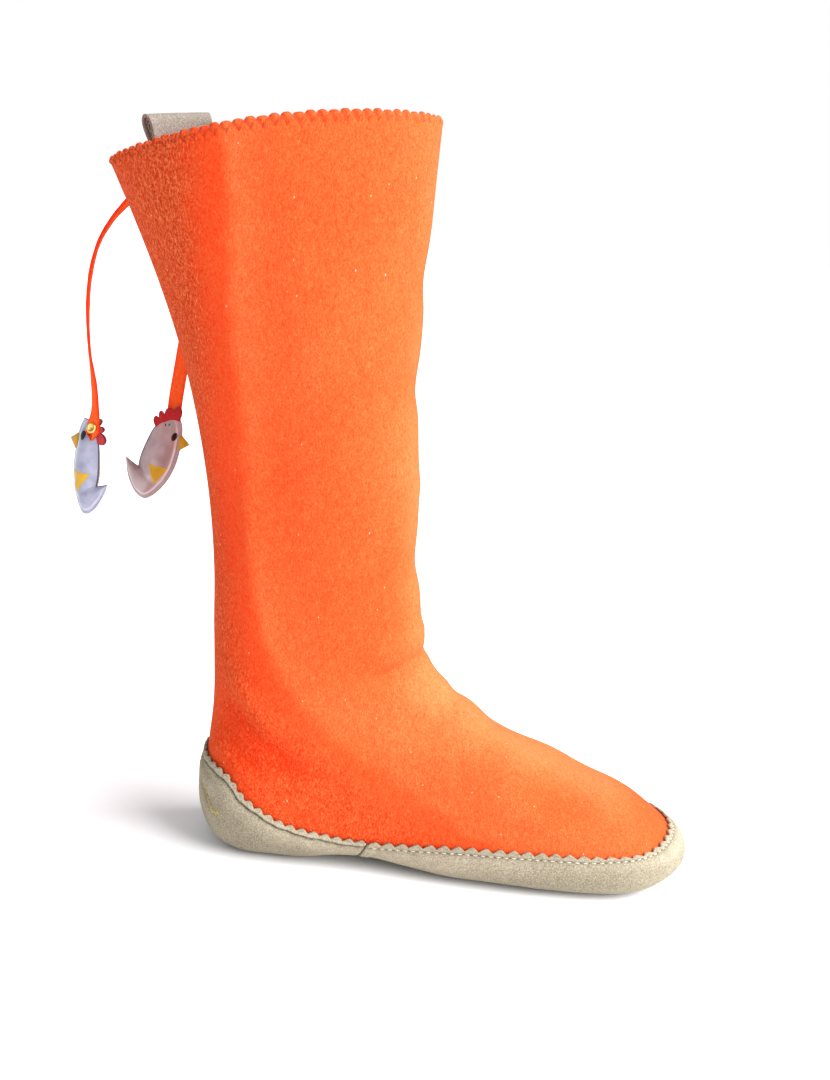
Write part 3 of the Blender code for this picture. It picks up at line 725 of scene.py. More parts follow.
def half_sections(run):
    """Half of the section at each run: depth from ridge to keel, width, height and girth, from 0 to 1."""
    sizes = section_sizes(run)
    turn = np.linspace(0, pi, 241)
    down, out = np.cos(turn), np.sin(turn)
    column = {name: values[:, None] for name, values in sizes.items()}
    power = np.where(down > 0, column["ridge_power"], column["keel_power"])
    reach = np.abs(down) ** (2 / power)
    widest = column["widest"]
    depth = np.where(down > 0, widest * (1 - reach), widest + (1 - widest) * reach)
    width = column["half_width"] * out ** (2 / power)
    height = column["ridge_z"] + depth * (column["keel_z"] - column["ridge_z"])
    slant = np.hypot(column["keel_x"] - column["ridge_x"], column["keel_z"] - column["ridge_z"])
    girth = lengths_along(np.stack([depth * slant, width], axis=2))
    return sizes, depth, width, height, girth / np.maximum(girth[:, -1:], 1e-9)


def surface_table():
    """The felt's outer face on its left half, as points and outward directions, by run and by side."""
    run = np.linspace(0, COLLAR, RUN_CELLS + 1)
    side = np.linspace(0, 1, SIDE_CELLS + 1)
    sizes, depth, width, _, girth = half_sections(run)
    down = np.array([np.interp(side, g, d) for g, d in zip(girth, depth)])
    out = np.array([np.interp(side, g, w) for g, w in zip(girth, width)])
    rise = COLLAR_RISE * np.clip((run - COLLAR_RISE_START) / (COLLAR - COLLAR_RISE_START), 0, 1) ** 2
    x, z = (
        sizes["ridge_" + axis][:, None] + down * (sizes["keel_" + axis] - sizes["ridge_" + axis])[:, None]
        for axis in "xz"
    )
    points = np.stack([x, out, z + rise[:, None] * np.sin(pi * side)], axis=2)
    mirrored = points * (1, -1, 1)
    wide = np.concatenate([mirrored[:, 1:2], points, mirrored[:, -2:-1]], axis=1)
    out = np.cross(np.gradient(wide, axis=1)[:, 1:-1], np.gradient(points, axis=0))
    out[0] = (1.0, 0.0, 0.0)
    return np.concatenate([points, unit(out)], axis=2)


SURFACE = surface_table()


def on_last(run, side):
    """Points of the felt's outer face and its outward directions. side is 0 on the ridge, and 1 to the
    left or -1 to the right on the keel."""
    i = np.clip(run / COLLAR, 0, 1) * RUN_CELLS
    j = np.clip(np.abs(side), 0, 1) * SIDE_CELLS
    row, column = np.minimum(i.astype(int), RUN_CELLS - 1), np.minimum(j.astype(int), SIDE_CELLS - 1)
    u, v = (i - row)[..., None], (j - column)[..., None]
    found = (1 - u) * ((1 - v) * SURFACE[row, column] + v * SURFACE[row, column + 1])
    found += u * ((1 - v) * SURFACE[row + 1, column] + v * SURFACE[row + 1, column + 1])
    left = np.where(side < 0, -1.0, 1.0)[..., None]
    turn = np.concatenate([left**0, left, left**0], axis=-1)
    return found[..., :3] * turn, found[..., 3:] * turn


def skin(run, side, offset):
    """Points a distance outside the felt's outer face, pressed flat where the sole stands."""
    points, out = on_last(run, side)
    points = points + np.asarray(offset)[..., None] * out
    points[..., 2] = np.maximum(points[..., 2], SUEDE + SHEET_GAP - offset)
    return points


# Runs over the whole of the suede's edge, which ends at its peak up the back of the heel.
SCAN = np.linspace(0, 300, 3001)
HEEL_PEAK = 277.0


def edge(run, drop):
    """How far round each section the suede's upper edge lies, or the line a drop below it."""
    sizes, _, _, height, girth = half_sections(run)
    level = sizes["suede_z"] - drop
    return np.array([np.interp(-level[i], -height[i], girth[i]) for i in range(len(level))])


def smooth(values, low, high):
    t = np.clip((values - low) / (high - low), 0, 1)
    return t * t * (3 - 2 * t)


# The felt's folds, each a line over x and z seen from the side: on the right (-1), the left (1) or both
# (0), then how far it reaches to the left and the right of its direction, and its depth (down is minus).
# Those that start above COLLAR_FOLDS run on into the collar.
COLLAR_FOLDS = 360
FOLDS = (
    # the long soft fold behind the shaft's side, which leaves a flat towards the back corner
    (-1, ((-60, 374), (-52, 322), (-44, 262), (-35, 200), (-28, 150), (-20, 118), (-4, 92), (18, 72), (44, 56)),
     11, 21, -0.8),
    (-1, ((-42, 374), (-35, 318), (-28, 258), (-19, 196), (-12, 150), (-5, 122), (12, 98), (34, 80)),
     14, 30, 2.4),
    (1, ((-58, 374), (-48, 318), (-39, 250), (-28, 190), (-18, 140), (-4, 100), (16, 76)), 11, 20, -0.8),
    (1, ((-38, 372), (-27, 300), (-16, 225), (-7, 160), (8, 112)), 14, 30, 2.2),
    # dents in the front edge
    (0, ((66, 305), (52, 300), (40, 301)), 10, 16, -1.7),
    (0, ((70, 252), (54, 248), (40, 250)), 10, 14, -2),
    (0, ((74, 204), (48, 197)), 14, 14, 1.4),
    (0, ((76, 164), (58, 159), (42, 160)), 10, 14, -1.8),
    # the notch above the instep, with the shaft's bulge over it
    (0, ((80, 116), (62, 108), (48, 106)), 4, 4, -2.6),
    (0, ((78, 127), (58, 121), (44, 119)), 9, 6, 1.9),
    (0, ((99, 90), (80, 82), (62, 80)), 5, 6, -1.6),
    (0, ((92, 97), (76, 93), (60, 92)), 6, 6, 1),
    (0, ((120, 79), (104, 66), (90, 62)), 8, 8, -0.9),
    # folds where the ankle turns into the heel
    (-1, ((-25, 88), (-8, 74), (12, 58), (30, 48)), 6, 9, -2.8),
    (-1, ((-27, 76), (-14, 62), (4, 48)), 4.5, 6, -2.2),
    (-1, ((-20, 104), (-6, 84), (12, 68)), 7, 7, 2.1),
    (1, ((-22, 98), (-2, 88), (20, 68), (40, 52)), 7, 11, -1.8),
    (1, ((-24, 78), (-6, 66), (12, 50)), 5, 8, -1.3),
    (1, ((-12, 92), (12, 76), (32, 58)), 6, 6, 0.9),
)  # fmt: skip


def line_gap(points, line):
    """Each point's distance from a line over x and z, how far along it, and 1 to its left or -1 to its right."""
    line = smooth_route(np.array(line, float), np.linspace(0, 1, 12 * len(line)))
    step = np.gradient(line, axis=0)
    gap_x, gap_z = points[:, :1] - line[:, 0], points[:, 2:] - line[:, 1]
    gap = np.hypot(gap_x, gap_z)
    row, nearest = np.arange(len(points)), gap.argmin(axis=1)
    leftwards = step[nearest, 0] * gap_z[row, nearest] - step[nearest, 1] * gap_x[row, nearest]
    gap = gap[row, nearest]
    return gap, nearest / (len(line) - 1), leftwards / (np.hypot(*step[nearest].T) * gap + 1e-9)


def felt_relief(points):
    """How far the felt stands proud of its smooth shape, in its folds and its slow waves."""
    x, y, z = points.T
    relief = 0.9 * np.sin(z / 31 + 0.8 * np.sign(y) + x / 40) + 0.6 * np.sin(z / 17 - x / 23 + np.sign(y))
    relief *= smooth(z, 60, 150) * smooth(np.abs(y), 0, 30) * (1 - 0.6 * smooth(z, 330, 372))
    vamp = smooth(x, 70, 110) * (1 - smooth(x, 185, 222)) * smooth(z - 0.6 * np.abs(y), 10, 30)
    relief += vamp * (0.9 * np.sin(x / 12.5 + y / 30) + 0.7 * np.sin(x / 7.3 - y / 19 + 1.0))
    for side, line, to_left, to_right, depth in FOLDS:
        gap, share, leftwards = line_gap(points, line)
        reach = to_right + (to_left - to_right) * smooth(leftwards, -0.8, 0.8)
        fade = smooth(1 - share, 0, 0.35)
        if line[0][1] < COLLAR_FOLDS:
            fade = fade * smooth(share + 0.12, 0, 0.3)
        soft = bell(gap, reach) if depth < 0 else np.exp((2.0 - np.hypot(gap, 2.0)) / (0.7 * reach))
        relief = relief + depth * soft * fade * (1.0 if side == 0 else smooth(side * y, 0, 10))
    return relief


# The lines behind which the felt is painted a deeper shade, down each side's corner and over the foot.
SHADE_EDGES = (
    (-1, ((-42, 374), (-35, 318), (-28, 258), (-19, 196), (-12, 150), (-4, 120), (14, 94), (46, 66), (84, 42),
          (124, 24))),
    (1, ((-38, 372), (-27, 300), (-16, 225), (-7, 160), (8, 112), (36, 76), (78, 44), (122, 25))),
)  # fmt: skip
# How much painted shade goes behind them and on the plain of the shaft, and how much painted light over the instep.
BEHIND_SHADE, PLAIN_SHADE, INSTEP_LIGHT = 0.24, 0.1, 0.25


def painted_felt_shading(points, relief):
    """Painted shade and light on the felt, and how rough the nap is behind its corners."""
    x, y, z = points.T
    behind = np.zeros(len(points))
    for side, line in SHADE_EDGES:
        gap, _, leftwards = line_gap(points, line)
        behind = np.where(side * y >= 0, -leftwards * gap, behind)
    behind += 1.3 * np.sin(z / 13 + x / 7) + 0.8 * np.sin(z / 4.3 - x / 5)
    on_shaft = smooth(z, 70, 135)
    # Painted shade behind the corners, turned from the light, and on the shaft's plain; painted light on the instep.
    deep = smooth(behind, -4.5, 4) * (1 - smooth(behind, 9, 27) * on_shaft) * (0.65 + 0.35 * on_shaft)
    rough = smooth(behind, 6, 26) * (0.4 + 0.6 * on_shaft)
    plain = smooth(-behind, 4, 24) * (1 - smooth(-behind, 52, 88)) * on_shaft
    pale = smooth(x, 30, 85) * (1 - smooth(x, 165, 205)) * smooth(35 - np.abs(y), 0, 25)
    # Painted shade in the creases and painted light on the ridges, deeper still in the troughs by the corners.
    folded = np.clip(relief * 0.03, -0.12, 0.05) - 0.1 * smooth(-relief, 1.0, 2.4) * smooth(behind, -8, 8)
    return folded - BEHIND_SHADE * deep - PLAIN_SHADE * plain + INSTEP_LIGHT * pale, rough


def scallop_zigzag(turns):
    """How far below the collar's edge the zigzag stitch lies at each place round it, counted in scallops."""
    return STITCH_DEPTH * (1 - np.abs(2 * (turns % 1.0) - 1))


def collar_edge(turns, depth):
    """How far the collar's edge dips between two scallops, the lift of its face, which puffs round the
    stitch and rounds off at the edge, and half the felt's thickness."""
    lobe = np.abs(np.sin(pi * turns))
    uneven = 1 + 0.35 * np.sin(2.3 * np.floor(turns)) * lobe
    dip = SCALLOP_DEPTH * (1 - lobe**0.7 * uneven) * (1 - smooth(depth, 0, 4))
    drawn_in = 1.15 * bell(depth - scallop_zigzag(turns), 0.8)
    puff = (1 - smooth(depth, 5.5, 8)) * (0.55 * uneven * lobe * (1 - smooth(depth, 1.5, 4.5)) - drawn_in)
    half = FELT / 2 * np.sqrt(1 - np.clip(1 - depth / COLLAR_ROUND, 0, 1) ** 2)
    half = np.maximum(half, EDGE_THICKNESS / 2)
    return dip, puff * np.clip(depth / 1.2, 0, 1) - FELT / 2 + half, half


def make_felt(finish):
    """A grid from the vamp's tip to the collar, finer in the band that the stitch draws in."""
    tip = SCAN[np.argmax(edge(SCAN, FELT_LAP) > 0) - 1]
    band = COLLAR - COLLAR_BAND[0]
    runs = np.append(np.linspace(tip, band, round((band - tip) / FELT_PITCH) + 1), COLLAR - np.array(COLLAR_BAND[1:]))
    bm = flat_grid(FELT_COLUMNS, len(runs) - 1)[0]
    in_band = 1 - (len(COLLAR_BAND) - 1.5) / (len(runs) - 1)
    fine = [rib for rib in bm.edges if min(vert.co.y for vert in rib.verts) > in_band - 1e-6]
    bmesh.ops.subdivide_edges(bm, edges=fine, cuts=2, use_grid_fill=True)
    grid = grid_places(bm)
    run = np.interp(grid[:, 1] * (len(runs) - 1), np.arange(len(runs)), runs)
    side = (2 * grid[:, 0] - 1) * edge(run, FELT_LAP)
    points, out = on_last(run, side)
    relief = felt_relief(points)
    clear = np.interp(run, SCAN, edge(SCAN, 0)) - np.abs(side) + 0.004 * np.maximum(run - HEEL_PEAK, 0)
    relief *= smooth(clear, 0.0, 0.06)
    dip, lift, half = collar_edge(side * SCALLOPS / 2, COLLAR - run)
    points = skin(np.maximum(run - dip, 0), side, relief + lift)
    # The fold attribute carries the felt's painted shade and light; rough marks the back, which the finish paints
    # darker.
    fold, rough = painted_felt_shading(points, relief)
    move_all(bm, points, fold=fold, rough=rough, thickness=2 * half / FELT)
    made = make_piece("felt_boot", bm, [finish], weld=2e-5)
    thicken(made, FELT, -1.0, uneven=True)
    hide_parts("upper")


make_felt(felt_finish("orange felt", (216, 46, 6), (213, 84, 38), (228, 118, 71), 0.6))


# ---- The collar's stitch
# One orange thread in a zigzag round the whole collar: over the edge between two scallops, down to a
# point below the next, and up again.

THREAD = 0.42


def make_collar_stitch(finish):
    bm = bmesh.new()
    for scallop in range(SCALLOPS):
        turns = np.linspace(scallop, scallop + 1, 13) - SCALLOPS / 2
        depth = np.minimum(scallop_zigzag(turns) * 0.94 + 0.25, STITCH_DEPTH - 0.2)
        dip, lift, _ = collar_edge(turns, depth)
        points, out = on_last(COLLAR - depth - dip, 2 * turns / SCALLOPS)
        points += (felt_relief(points) + lift + 0.1)[:, None] * out
        add_strand(bm, points, THREAD * np.where(depth < 0.6, 0.9, 1.0), out)
    bmesh.ops.recalc_face_normals(bm, faces=bm.faces)
    make_piece("collar_stitch", bm, [finish])


def thread_finish(name, colour, shadow):
    finish = Finish(name, Roughness=0.7, Sheen_Weight=0.2)
    twist = finish.noise(0.5)
    return finish.feed(Base_Color=finish.mix(twist.step(0.3, 0.7), shadow, colour), Normal=finish.bump(twist, 0.1))


make_collar_stitch(thread_finish("orange thread", (226, 84, 36), (196, 56, 18)))


# ---- The suede bottom
# Two pieces of napped suede, pinked along the top and sewn to the felt: one round the toe and the
# forefoot, one round the heel. They meet in a seam across the waist of the foot.

WAIST_SEAM = 189.0
SEAM_GAP = 0.3
WAIST_STRIP = 4.8
WAIST_STITCH = 2.5
FORE_TEETH, FORE_TOOTH = 53, 2.1
HEEL_TEETH, HEEL_TOOTH = 39, 1.5
TOOTH_COLUMNS = 8
SEW_LINE = 3.9
SUEDE_EDGE = 1.3
FINE_DEPTHS = (2.5, 3.0, 3.4, 3.7, 3.9, 4.1, 4.4, 4.8, 5.7, 7.2, 9.4)
COARSE_ROWS = 22
# What turns the distance from the keel into millimetres for the heel's gathers, and the run they fan out from.
GATHER_SPAN = 150.0
GATHER_RUN = 277.7
# The runs on the keel that lines down the suede from runs on its edge reach.
SPINE = ((0, 46), (60, 72), (100, 102), (WAIST_SEAM, WAIST_SEAM), (278, 238))


def edge_table():
    """The suede's upper edge on the left, from the vamp's tip to the heel's peak."""
    round_it = edge(SCAN, 0)
    tip, peak = SCAN[np.argmax(round_it > 0) - 1], SCAN[np.argmax(round_it >= 1)]
    run = tip + (peak - tip) * (1 - np.cos(np.linspace(0, pi, 2001))) / 2
    side = edge(run, 0)
    side[0], side[-1] = 0.0, 1.0
    return lengths_along(skin(run, side, np.full(len(run), SUEDE + SHEET_GAP))), run, side


EDGE_LENGTH, EDGE_RUN, EDGE_SIDE = edge_table()
EDGE_END = EDGE_LENGTH[-1]
WAIST_LENGTH = float(np.interp(WAIST_SEAM, EDGE_RUN, EDGE_LENGTH))


def down_lines(along):
    """Lines over the suede from places along its edge down to the keel: runs, sides and lengths so far."""
    along = np.where(along > EDGE_END, along - 2 * EDGE_END, along)
    left = np.where(along < 0, -1.0, 1.0)[:, None]
    run = np.interp(np.abs(along), EDGE_LENGTH, EDGE_RUN)[:, None]
    side = np.interp(np.abs(along), EDGE_LENGTH, EDGE_SIDE)[:, None]
    spine = np.interp(run, *zip(*SPINE))
    t = np.linspace(0, 1, 101)[None, :]
    straight_run, straight_side = run + (spine - run) * t, side + (1 - side) * t
    straight = np.stack([straight_run * np.cos(pi * straight_side), straight_run * np.sin(pi * straight_side)])
    start = np.stack([run * np.cos(pi * side), run * np.sin(pi * side)])
    end = np.stack([-spine, 0 * spine])
    share = smooth(run, 55, 105)
    x, y = share * straight + (1 - share) * (start + (end - start) * t)
    run, side = np.hypot(x, y), np.arctan2(y, x) / pi
    return run, side * left, lengths_along(skin(run, side, np.full(run.shape, SUEDE + SHEET_GAP)))


def below_edge(along, depth):
    """The run and side of points a depth below the edge, measured over the suede."""
    *found, length = down_lines(along)
    return [np.array([np.interp(*row) for row in zip(depth, length, values)]) for values in found]


def suede_relief(along, depth, run, side):
    """How far the suede stands proud of its smooth shape: seams, gathers and slow waves."""
    heel, once_round = np.abs(along) > WAIST_LENGTH, pi * along / EDGE_END
    uneven = 0.3 * np.sin(153 * once_round) + 0.25 * np.sin(70 * once_round + 1.0)
    wander = SEW_LINE + np.where(heel, 0.25 * np.sin(33 * once_round) + 0.2 * np.sin(73 * once_round), 0.0)
    groove = np.where(heel, 1.1 + uneven, 0.5) * bell(depth - wander, 0.55)
    strip = np.where(heel, 0.5, 0.22) * smooth(depth, 0.8, 2.0) * (1 - smooth(depth, 2.8, SEW_LINE))
    roll = 0.35 * smooth(depth, SEW_LINE, SEW_LINE + 3) * (1 - smooth(depth, SEW_LINE + 4, SEW_LINE + 14))
    to_seam = WAIST_SEAM - run
    seam = -0.7 * bell(to_seam, 0.8) - 0.2 * bell(to_seam - WAIST_STITCH, 0.5)
    seam += 0.4 * smooth(to_seam, 0.1, 0.9) * (1 - smooth(to_seam, WAIST_STRIP - 0.8, WAIST_STRIP))
    over, down = (1 - np.abs(side)) * GATHER_SPAN, GATHER_RUN - run
    radius, turn = np.hypot(over, down), np.arctan2(over, down)
    gathers = np.cos(turn * 19 + 0.7) * (0.6 + 0.4 * np.cos(turn * 7))
    gathers = 1.1 * gathers * smooth(radius, 3, 10) * (1 - smooth(radius, 18, 36)) * smooth(1.5 - turn, 0, 0.5)
    waves = 0.35 * np.sin(4 * once_round + 1.7) * np.sin(depth / 9 + np.cos(once_round))
    waves *= smooth(depth, 4, 12)
    return strip + roll + seam - groove + gathers * heel + waves


def suede_offset(along, depth, run, side):
    """The height of the suede's outer face above the felt, and its thickness."""
    thickness = SUEDE_EDGE + (SUEDE - SUEDE_EDGE) * smooth(depth, 0, 7)
    offset = SHEET_GAP + thickness
    off_floor = smooth(skin(run, side, offset)[..., 2], 1.5, 9)
    return offset + suede_relief(along, depth, run, side) * off_floor, thickness


def make_suede(name, start, end, teeth, tooth_depth, finish, node):
    """One piece of the bottom, between two places along the edge, its first rows cut into teeth."""
    columns = teeth * TOOTH_COLUMNS
    along = np.linspace(start, end, columns + 1)[:, None]
    from_tip = np.abs(2 * ((np.arange(columns + 1) / TOOTH_COLUMNS) % 1.0) - 1)[:, None]
    tooth = tooth_depth * (0.25 * from_tip + 0.75 * (1 - np.cos(pi / 2 * from_tip)))
    first, last = FINE_DEPTHS[0], FINE_DEPTHS[-1]
    under = down_lines(along[:, 0])[2][:, -1:] - last
    depth = np.hstack([
        tooth + (first - tooth) * np.arange(3) / 3,
        np.broadcast_to(FINE_DEPTHS, (columns + 1, len(FINE_DEPTHS))),
        last + under * np.arange(1, COARSE_ROWS + 2) / (COARSE_ROWS + 1),
    ])  # fmt: skip
    run, side = below_edge(along[:, 0], depth)
    side[:, -1] = 1.0
    offset, thickness = suede_offset(along, depth, run, side)
    rows = depth.shape[1] - 1
    bm, grid = flat_grid(columns, rows)
    column, row = np.rint(grid[:, :2] * (columns, rows)).astype(int).T
    order = (column, rows - row)
    # Painted shade where the suede dips into seams, grooves and gathers, and painted light where it rises.
    dip_shade = np.clip(offset - SHEET_GAP - thickness, -0.8, 0.5)
    move_all(bm, skin(run, side, offset)[order], fold=dip_shade[order], thickness=(thickness / SUEDE)[order])
    made = make_piece(name, bm, [finish], weld=3e-5)
    thicken(made, SUEDE, -1.0, uneven=True)
    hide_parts(node)
    return made


def suede_finish(name, deep, middle, light):
    """Suede: a short dense nap in light and dark grains, with painted shade in its seams and dips and light on its
    rises.
    """
    finish = Finish(
        name, Roughness=0.95, Sheen_Weight=0.3, Sheen_Roughness=0.4, Sheen_Tint=srgb(light), Specular_IOR_Level=0.15
    )
    cloudy = finish.noise(26, 3, 0.55)
    patches = finish.noise(5, 3, 0.6)
    grains = finish.noise(0.8, 3, 0.65)
    fine = finish.noise(0.45, 2, 0.7)
    shade = (cloudy - 0.5) * 0.25 + (patches - 0.5) * 0.2 + (grains - 0.5) * 1.2 + (fine - 0.5) * 1.3 + 0.5
    # The fold attribute: painted shade in the dips, painted light on the rises.
    shade = shade + finish.attribute("fold") * 0.3
    soft = finish.bump(grains, 0.32, 0.8)
    return finish.feed(Base_Color=finish.ramp(shade, deep, middle, light), Normal=finish.bump(fine, 0.15, 0.7, soft))


beige_suede = suede_finish("beige suede", (101, 94, 78), (138, 130, 111), (175, 167, 147))
fore_end, heel_start = WAIST_LENGTH - SEAM_GAP / 2, WAIST_LENGTH + SEAM_GAP / 2
make_suede("suede_forefoot", -fore_end, fore_end, FORE_TEETH, FORE_TOOTH, beige_suede, "forefoot_sole")
suede_heel = make_suede(
    "suede_heel", heel_start, 2 * EDGE_END - heel_start, HEEL_TEETH, HEEL_TOOTH, beige_suede, "heel_sole"
)  # fmt: skip


# ---- The bottom's stitches
# A row of stitches follows the pinked edge: pale thread that lies open round the forefoot, and a
# darker one sunk in its groove round the heel, its dark colour painted shade. A yellow seam closes the back of the
# heel.

STITCH_PITCH = 3.9
STITCH_LENGTH = 2.3
# How far the stitches stay clear of the waist seam.
SEAM_CLEAR = 3.0
HOLE = 0.42
# The yellow seam's route: how far round to the right of the heel's middle, and how high.
HEEL_SEAM = np.array([(7, 47), (13, 42), (18.5, 37), (22.5, 32), (25, 27.5), (28, 24.5), (32, 25.5)])
HEEL_RADIUS = 35.0
HEEL_SEAM_POINTS = 25
HEEL_SEAM_HALF_WIDTH = 1.1
# How far along a stitch of it each point is, and how far off the suede.
HEEL_SEAM_BOW = ((0.08, -0.05), (0.3, 0.2), (0.5, 0.26), (0.7, 0.2), (0.92, -0.05))
HEEL_THREAD = 0.36


def on_suede(along, depth, lift):
    """Points on the suede a depth below places along its edge, and the directions out of it."""
    depth = np.broadcast_to(np.asarray(depth, float), len(along))[:, None]
    run, side = below_edge(along, depth)
    offset = suede_offset(along[:, None], depth, run, side)[0]
    return skin(run, side, offset + lift)[:, 0], on_last(run, side)[1][:, 0]


def make_edge_stitches(name, start, end, finish, lift, radius):
    bm = bmesh.new()
    count = round((end - start) / STITCH_PITCH)
    for middle in start + (np.arange(count) + 0.5) * (end - start) / count:
        line, out = on_suede(middle + np.linspace(-0.5, 0.5, 7) * STITCH_LENGTH, SEW_LINE, lift)
        bow = np.sin(np.linspace(0, pi, 7))
        add_strand(bm, line + (0.35 * bow - 0.25)[:, None] * out, radius * (0.35 + 0.65 * bow**0.5), out)
    make_piece(name, bm, [finish], close=True)


def make_heel_seam(name, heel, finish):
    """A zigzag seam down the back of the heel and a little to the right, with a hook at its foot."""
    shape = heel.data
    tree = BVHTree.FromPolygons([v.co / MM for v in shape.vertices], [p.vertices[:] for p in shape.polygons])
    route = smooth_route(HEEL_SEAM, np.linspace(0, 0.9999, HEEL_SEAM_POINTS))
    beside = unit(np.gradient(route, axis=0) @ np.array([[0.0, 1.0], [-1.0, 0.0]]))
    route += beside * np.where(np.arange(HEEL_SEAM_POINTS) % 2, 1, -1)[:, None] * HEEL_SEAM_HALF_WIDTH
    spots = []
    for round_it, z in route:
        inwards = Vector((cos(round_it / HEEL_RADIUS), sin(round_it / HEEL_RADIUS), 0.0))
        spots.append(tree.ray_cast(Vector((0.0, 0.0, z)) - 90 * inwards, inwards)[:2])
    bm = bmesh.new()
    for (start, out), (end, _) in zip(spots, spots[1:]):
        line = np.array([start.lerp(end, t) + bow * out for t, bow in HEEL_SEAM_BOW])
        add_strand(bm, line, HEEL_THREAD, np.array(out), 5)
    make_piece(name, bm, [finish], close=True)


def make_needle_holes(name, reach, finish):
    """Painted shade: dark discs for the holes between the forefoot's stitches, and a row beside the waist seam."""
    places = np.linspace(-reach, reach, round(2 * reach / STITCH_PITCH) + 1)
    beside = float(np.interp(WAIST_SEAM - WAIST_STITCH, EDGE_RUN, EDGE_LENGTH))
    down = np.arange(7.0, 24.0, 2.6)
    along = np.concatenate([places, -beside + 0 * down, beside + 0 * down])
    depth = np.concatenate([SEW_LINE + 0 * places, down, down])
    bm = bmesh.new()
    for point, out in zip(*on_suede(along, depth, 0.02)):
        turn = Vector(out).to_track_quat("Z", "Y")
        place = Matrix.LocRotScale(Vector(point * MM), turn, Vector((HOLE, HOLE, 0.3 * HOLE)) * MM)
        bmesh.ops.create_icosphere(bm, subdivisions=1, radius=1.0, matrix=place)
    make_piece(name, bm, [finish])


pale_thread = thread_finish("pale thread", (216, 212, 200), (180, 172, 156))
# Painted shade: the heel's stitches get a dark copy of the thread for the shade of their groove.
groove_shaded_thread = thread_finish("pale thread, painted groove shade", (120, 108, 94), (84, 74, 62))
yellow_thread = thread_finish("yellow thread", (186, 174, 80), (146, 134, 52))
fore_row, heel_row = WAIST_LENGTH - SEAM_CLEAR, WAIST_LENGTH + SEAM_CLEAR
make_edge_stitches("stitches_forefoot", -fore_row, fore_row, pale_thread, lift=0.1, radius=0.34)
# The holes' dark colour is painted shade.
make_needle_holes("needle_holes", fore_row, thread_finish("needle holes, painted shade", (74, 62, 50), (48, 40, 32)))
make_heel_seam("heel_seam", suede_heel, yellow_thread)
make_edge_stitches("stitches_heel", heel_row, 2 * EDGE_END - heel_row, groove_shaded_thread, lift=-0.1, radius=HEEL_THREAD)


# ---- The insole
# A soft grey felt sole that lies loose on the bottom, inside.

INSOLE = 4.0
INSOLE_TOE = 31.0
INSOLE_HEEL = 251.0
INSOLE_RIM = 0.27


def make_insole(finish):
    bm, grid = flat_grid(56, 110)
    run = INSOLE_TOE + (INSOLE_HEEL - INSOLE_TOE) * grid[:, 1]
    rim = edge(run, FELT_LAP)
    across = 2 * grid[:, 0] - 1
    side = 1 - np.abs(across) * (1 - rim) * (1 - INSOLE_RIM)
    move_all(bm, skin(run, np.where(across > 0, -side, side), 0 * run))
    made = make_piece("insole_felt", bm, [finish], weld=1e-5)
    thicken(made, INSOLE, -1.0)
    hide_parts("insole")


make_insole(felt_finish("grey felt", (120, 110, 98), (158, 146, 132), (186, 176, 162)))


# ---- The pull loop
# A strip of the suede folded over into a loop and sewn inside the back of the collar.

LOOP_STRAP = 1.6
LOOP_END = 0.9
LOOP_CENTRE = 0.78
LOOP_HALF_WIDTH = 0.083
LOOP_END_HALF_WIDTH = 0.079
LOOP_SEWN = 15.0
# The strap's middle: heights above the collar, of which its rear and front edges reach these shares,
# and depths inside the felt's outer face.
LOOP_HEIGHT = (0.46, 0.74)
LOOP_FOLD = np.array([
    (-15, 4.7), (-6, 4.7), (0, 4.5), (4, 3.7), (8, 3.1), (13, 2.9), (17, 3.5), (19.4, 5.2),
    (19.4, 7), (17, 8.7), (13, 9.2), (8, 8.6), (4, 7.7), (0, 6.7), (-6, 6.6), (-15, 6.6),
])  # fmt: skip
# The rolled end of the strap inside the fold.
LOOP_ROLL = np.array([
    (4, 6.1), (9, 5.6), (13.6, 5.2), (16.6, 5.8), (17.2, 7), (15.6, 7.6), (13.9, 7), (14.4, 6.3),
])  # fmt: skip


def make_pull_loop(name, route, half_width, thickness, finishes):
    bm, grid = flat_grid(40, 90)
    side = LOOP_CENTRE + (2 * grid[:, 0] - 1) * half_width
    height = LOOP_HEIGHT[0] + (LOOP_HEIGHT[1] - LOOP_HEIGHT[0]) * grid[:, 0]
    top, out = on_last(np.full(len(side), COLLAR), side)
    below = on_last(np.full(len(side), COLLAR - LOOP_SEWN), side)[0]
    fold = smooth_route(route, grid[:, 1])
    rise = np.where(fold[:, 0] > 0, fold[:, 0] * height, fold[:, 0])
    move_all(bm, top + rise[:, None] * (top - below) / LOOP_SEWN - fold[:, 1:] * out)
    made = make_piece(name, bm, finishes, sharp=50)
    thicken(made, thickness)
    return made


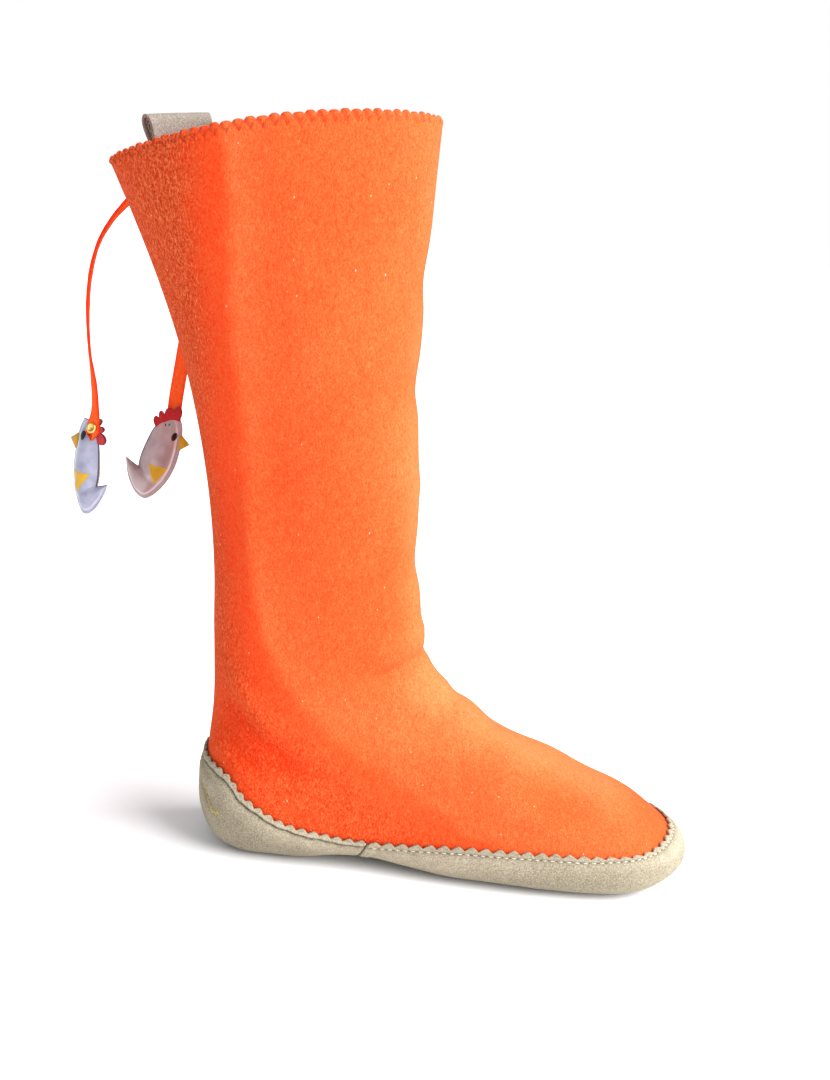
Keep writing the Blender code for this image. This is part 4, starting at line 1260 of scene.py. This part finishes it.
loop_suede = suede_finish("grey-beige suede", (94, 87, 81), (126, 118, 110), (156, 147, 138))
loop_cut = suede_finish("suede, cut edge", (84, 66, 60), (124, 106, 98), (156, 138, 128))
strap = make_pull_loop("suede_pull_loop", LOOP_FOLD, LOOP_HALF_WIDTH, LOOP_STRAP, [loop_suede, loop_cut])
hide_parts("pull_loop")
make_pull_loop("suede_loop_roll", LOOP_ROLL, LOOP_END_HALF_WIDTH, LOOP_END, [loop_suede, loop_cut])


# ---- The floor and the light
# A plain white floor under a broad soft light from the front of the boot, in a white studio.

FLOOR_HALF = 12000.0


def make_floor():
    bm = bmesh.new()
    bmesh.ops.create_grid(bm, x_segments=1, y_segments=1, size=FLOOR_HALF * MM)
    mesh = bpy.data.meshes.new("floor")
    bm.to_mesh(mesh)
    bm.free()
    floor = bpy.data.objects.new("floor", mesh)
    bpy.context.collection.objects.link(floor)
    mesh.materials.append(Finish("white floor", Base_Color=(0.86, 0.86, 0.885, 1.0), Roughness=1.0).made)


def add_sun(name, towards, softness, strength, colour):
    data = bpy.data.lights.new(name, "SUN")
    data.angle, data.energy, data.color = radians(softness), strength, colour
    light = bpy.data.objects.new(name, data)
    light.matrix_world = Vector(towards).to_track_quat("Z", "Y").to_matrix().to_4x4()
    bpy.context.collection.objects.link(light)


def make_studio(seen, given):
    """A white background to look at, and a weaker light all round."""
    world = bpy.data.worlds.new("studio")
    world.use_nodes = True
    nodes, links = world.node_tree.nodes, world.node_tree.links
    either = nodes.new("ShaderNodeMixShader")
    links.new(nodes.new("ShaderNodeLightPath").outputs["Is Camera Ray"], either.inputs[0])
    for socket, background, strength in ((1, nodes.new("ShaderNodeBackground"), given), (2, nodes["Background"], seen)):
        background.inputs["Color"].default_value = (1.0, 1.0, 1.0, 1.0)
        background.inputs["Strength"].default_value = strength
        links.new(background.outputs[0], either.inputs[socket])
    links.new(either.outputs[0], nodes["World Output"].inputs["Surface"])
    bpy.context.scene.world = world


make_floor()
add_sun("key", towards=(0.76, -0.27, 0.59), softness=60.0, strength=7.7, colour=(1.0, 0.99, 0.975))
add_sun("front fill", towards=(0.15, -0.97, 0.25), softness=90.0, strength=0.9, colour=(1.0, 1.0, 1.0))
make_studio(seen=1.0, given=0.6)
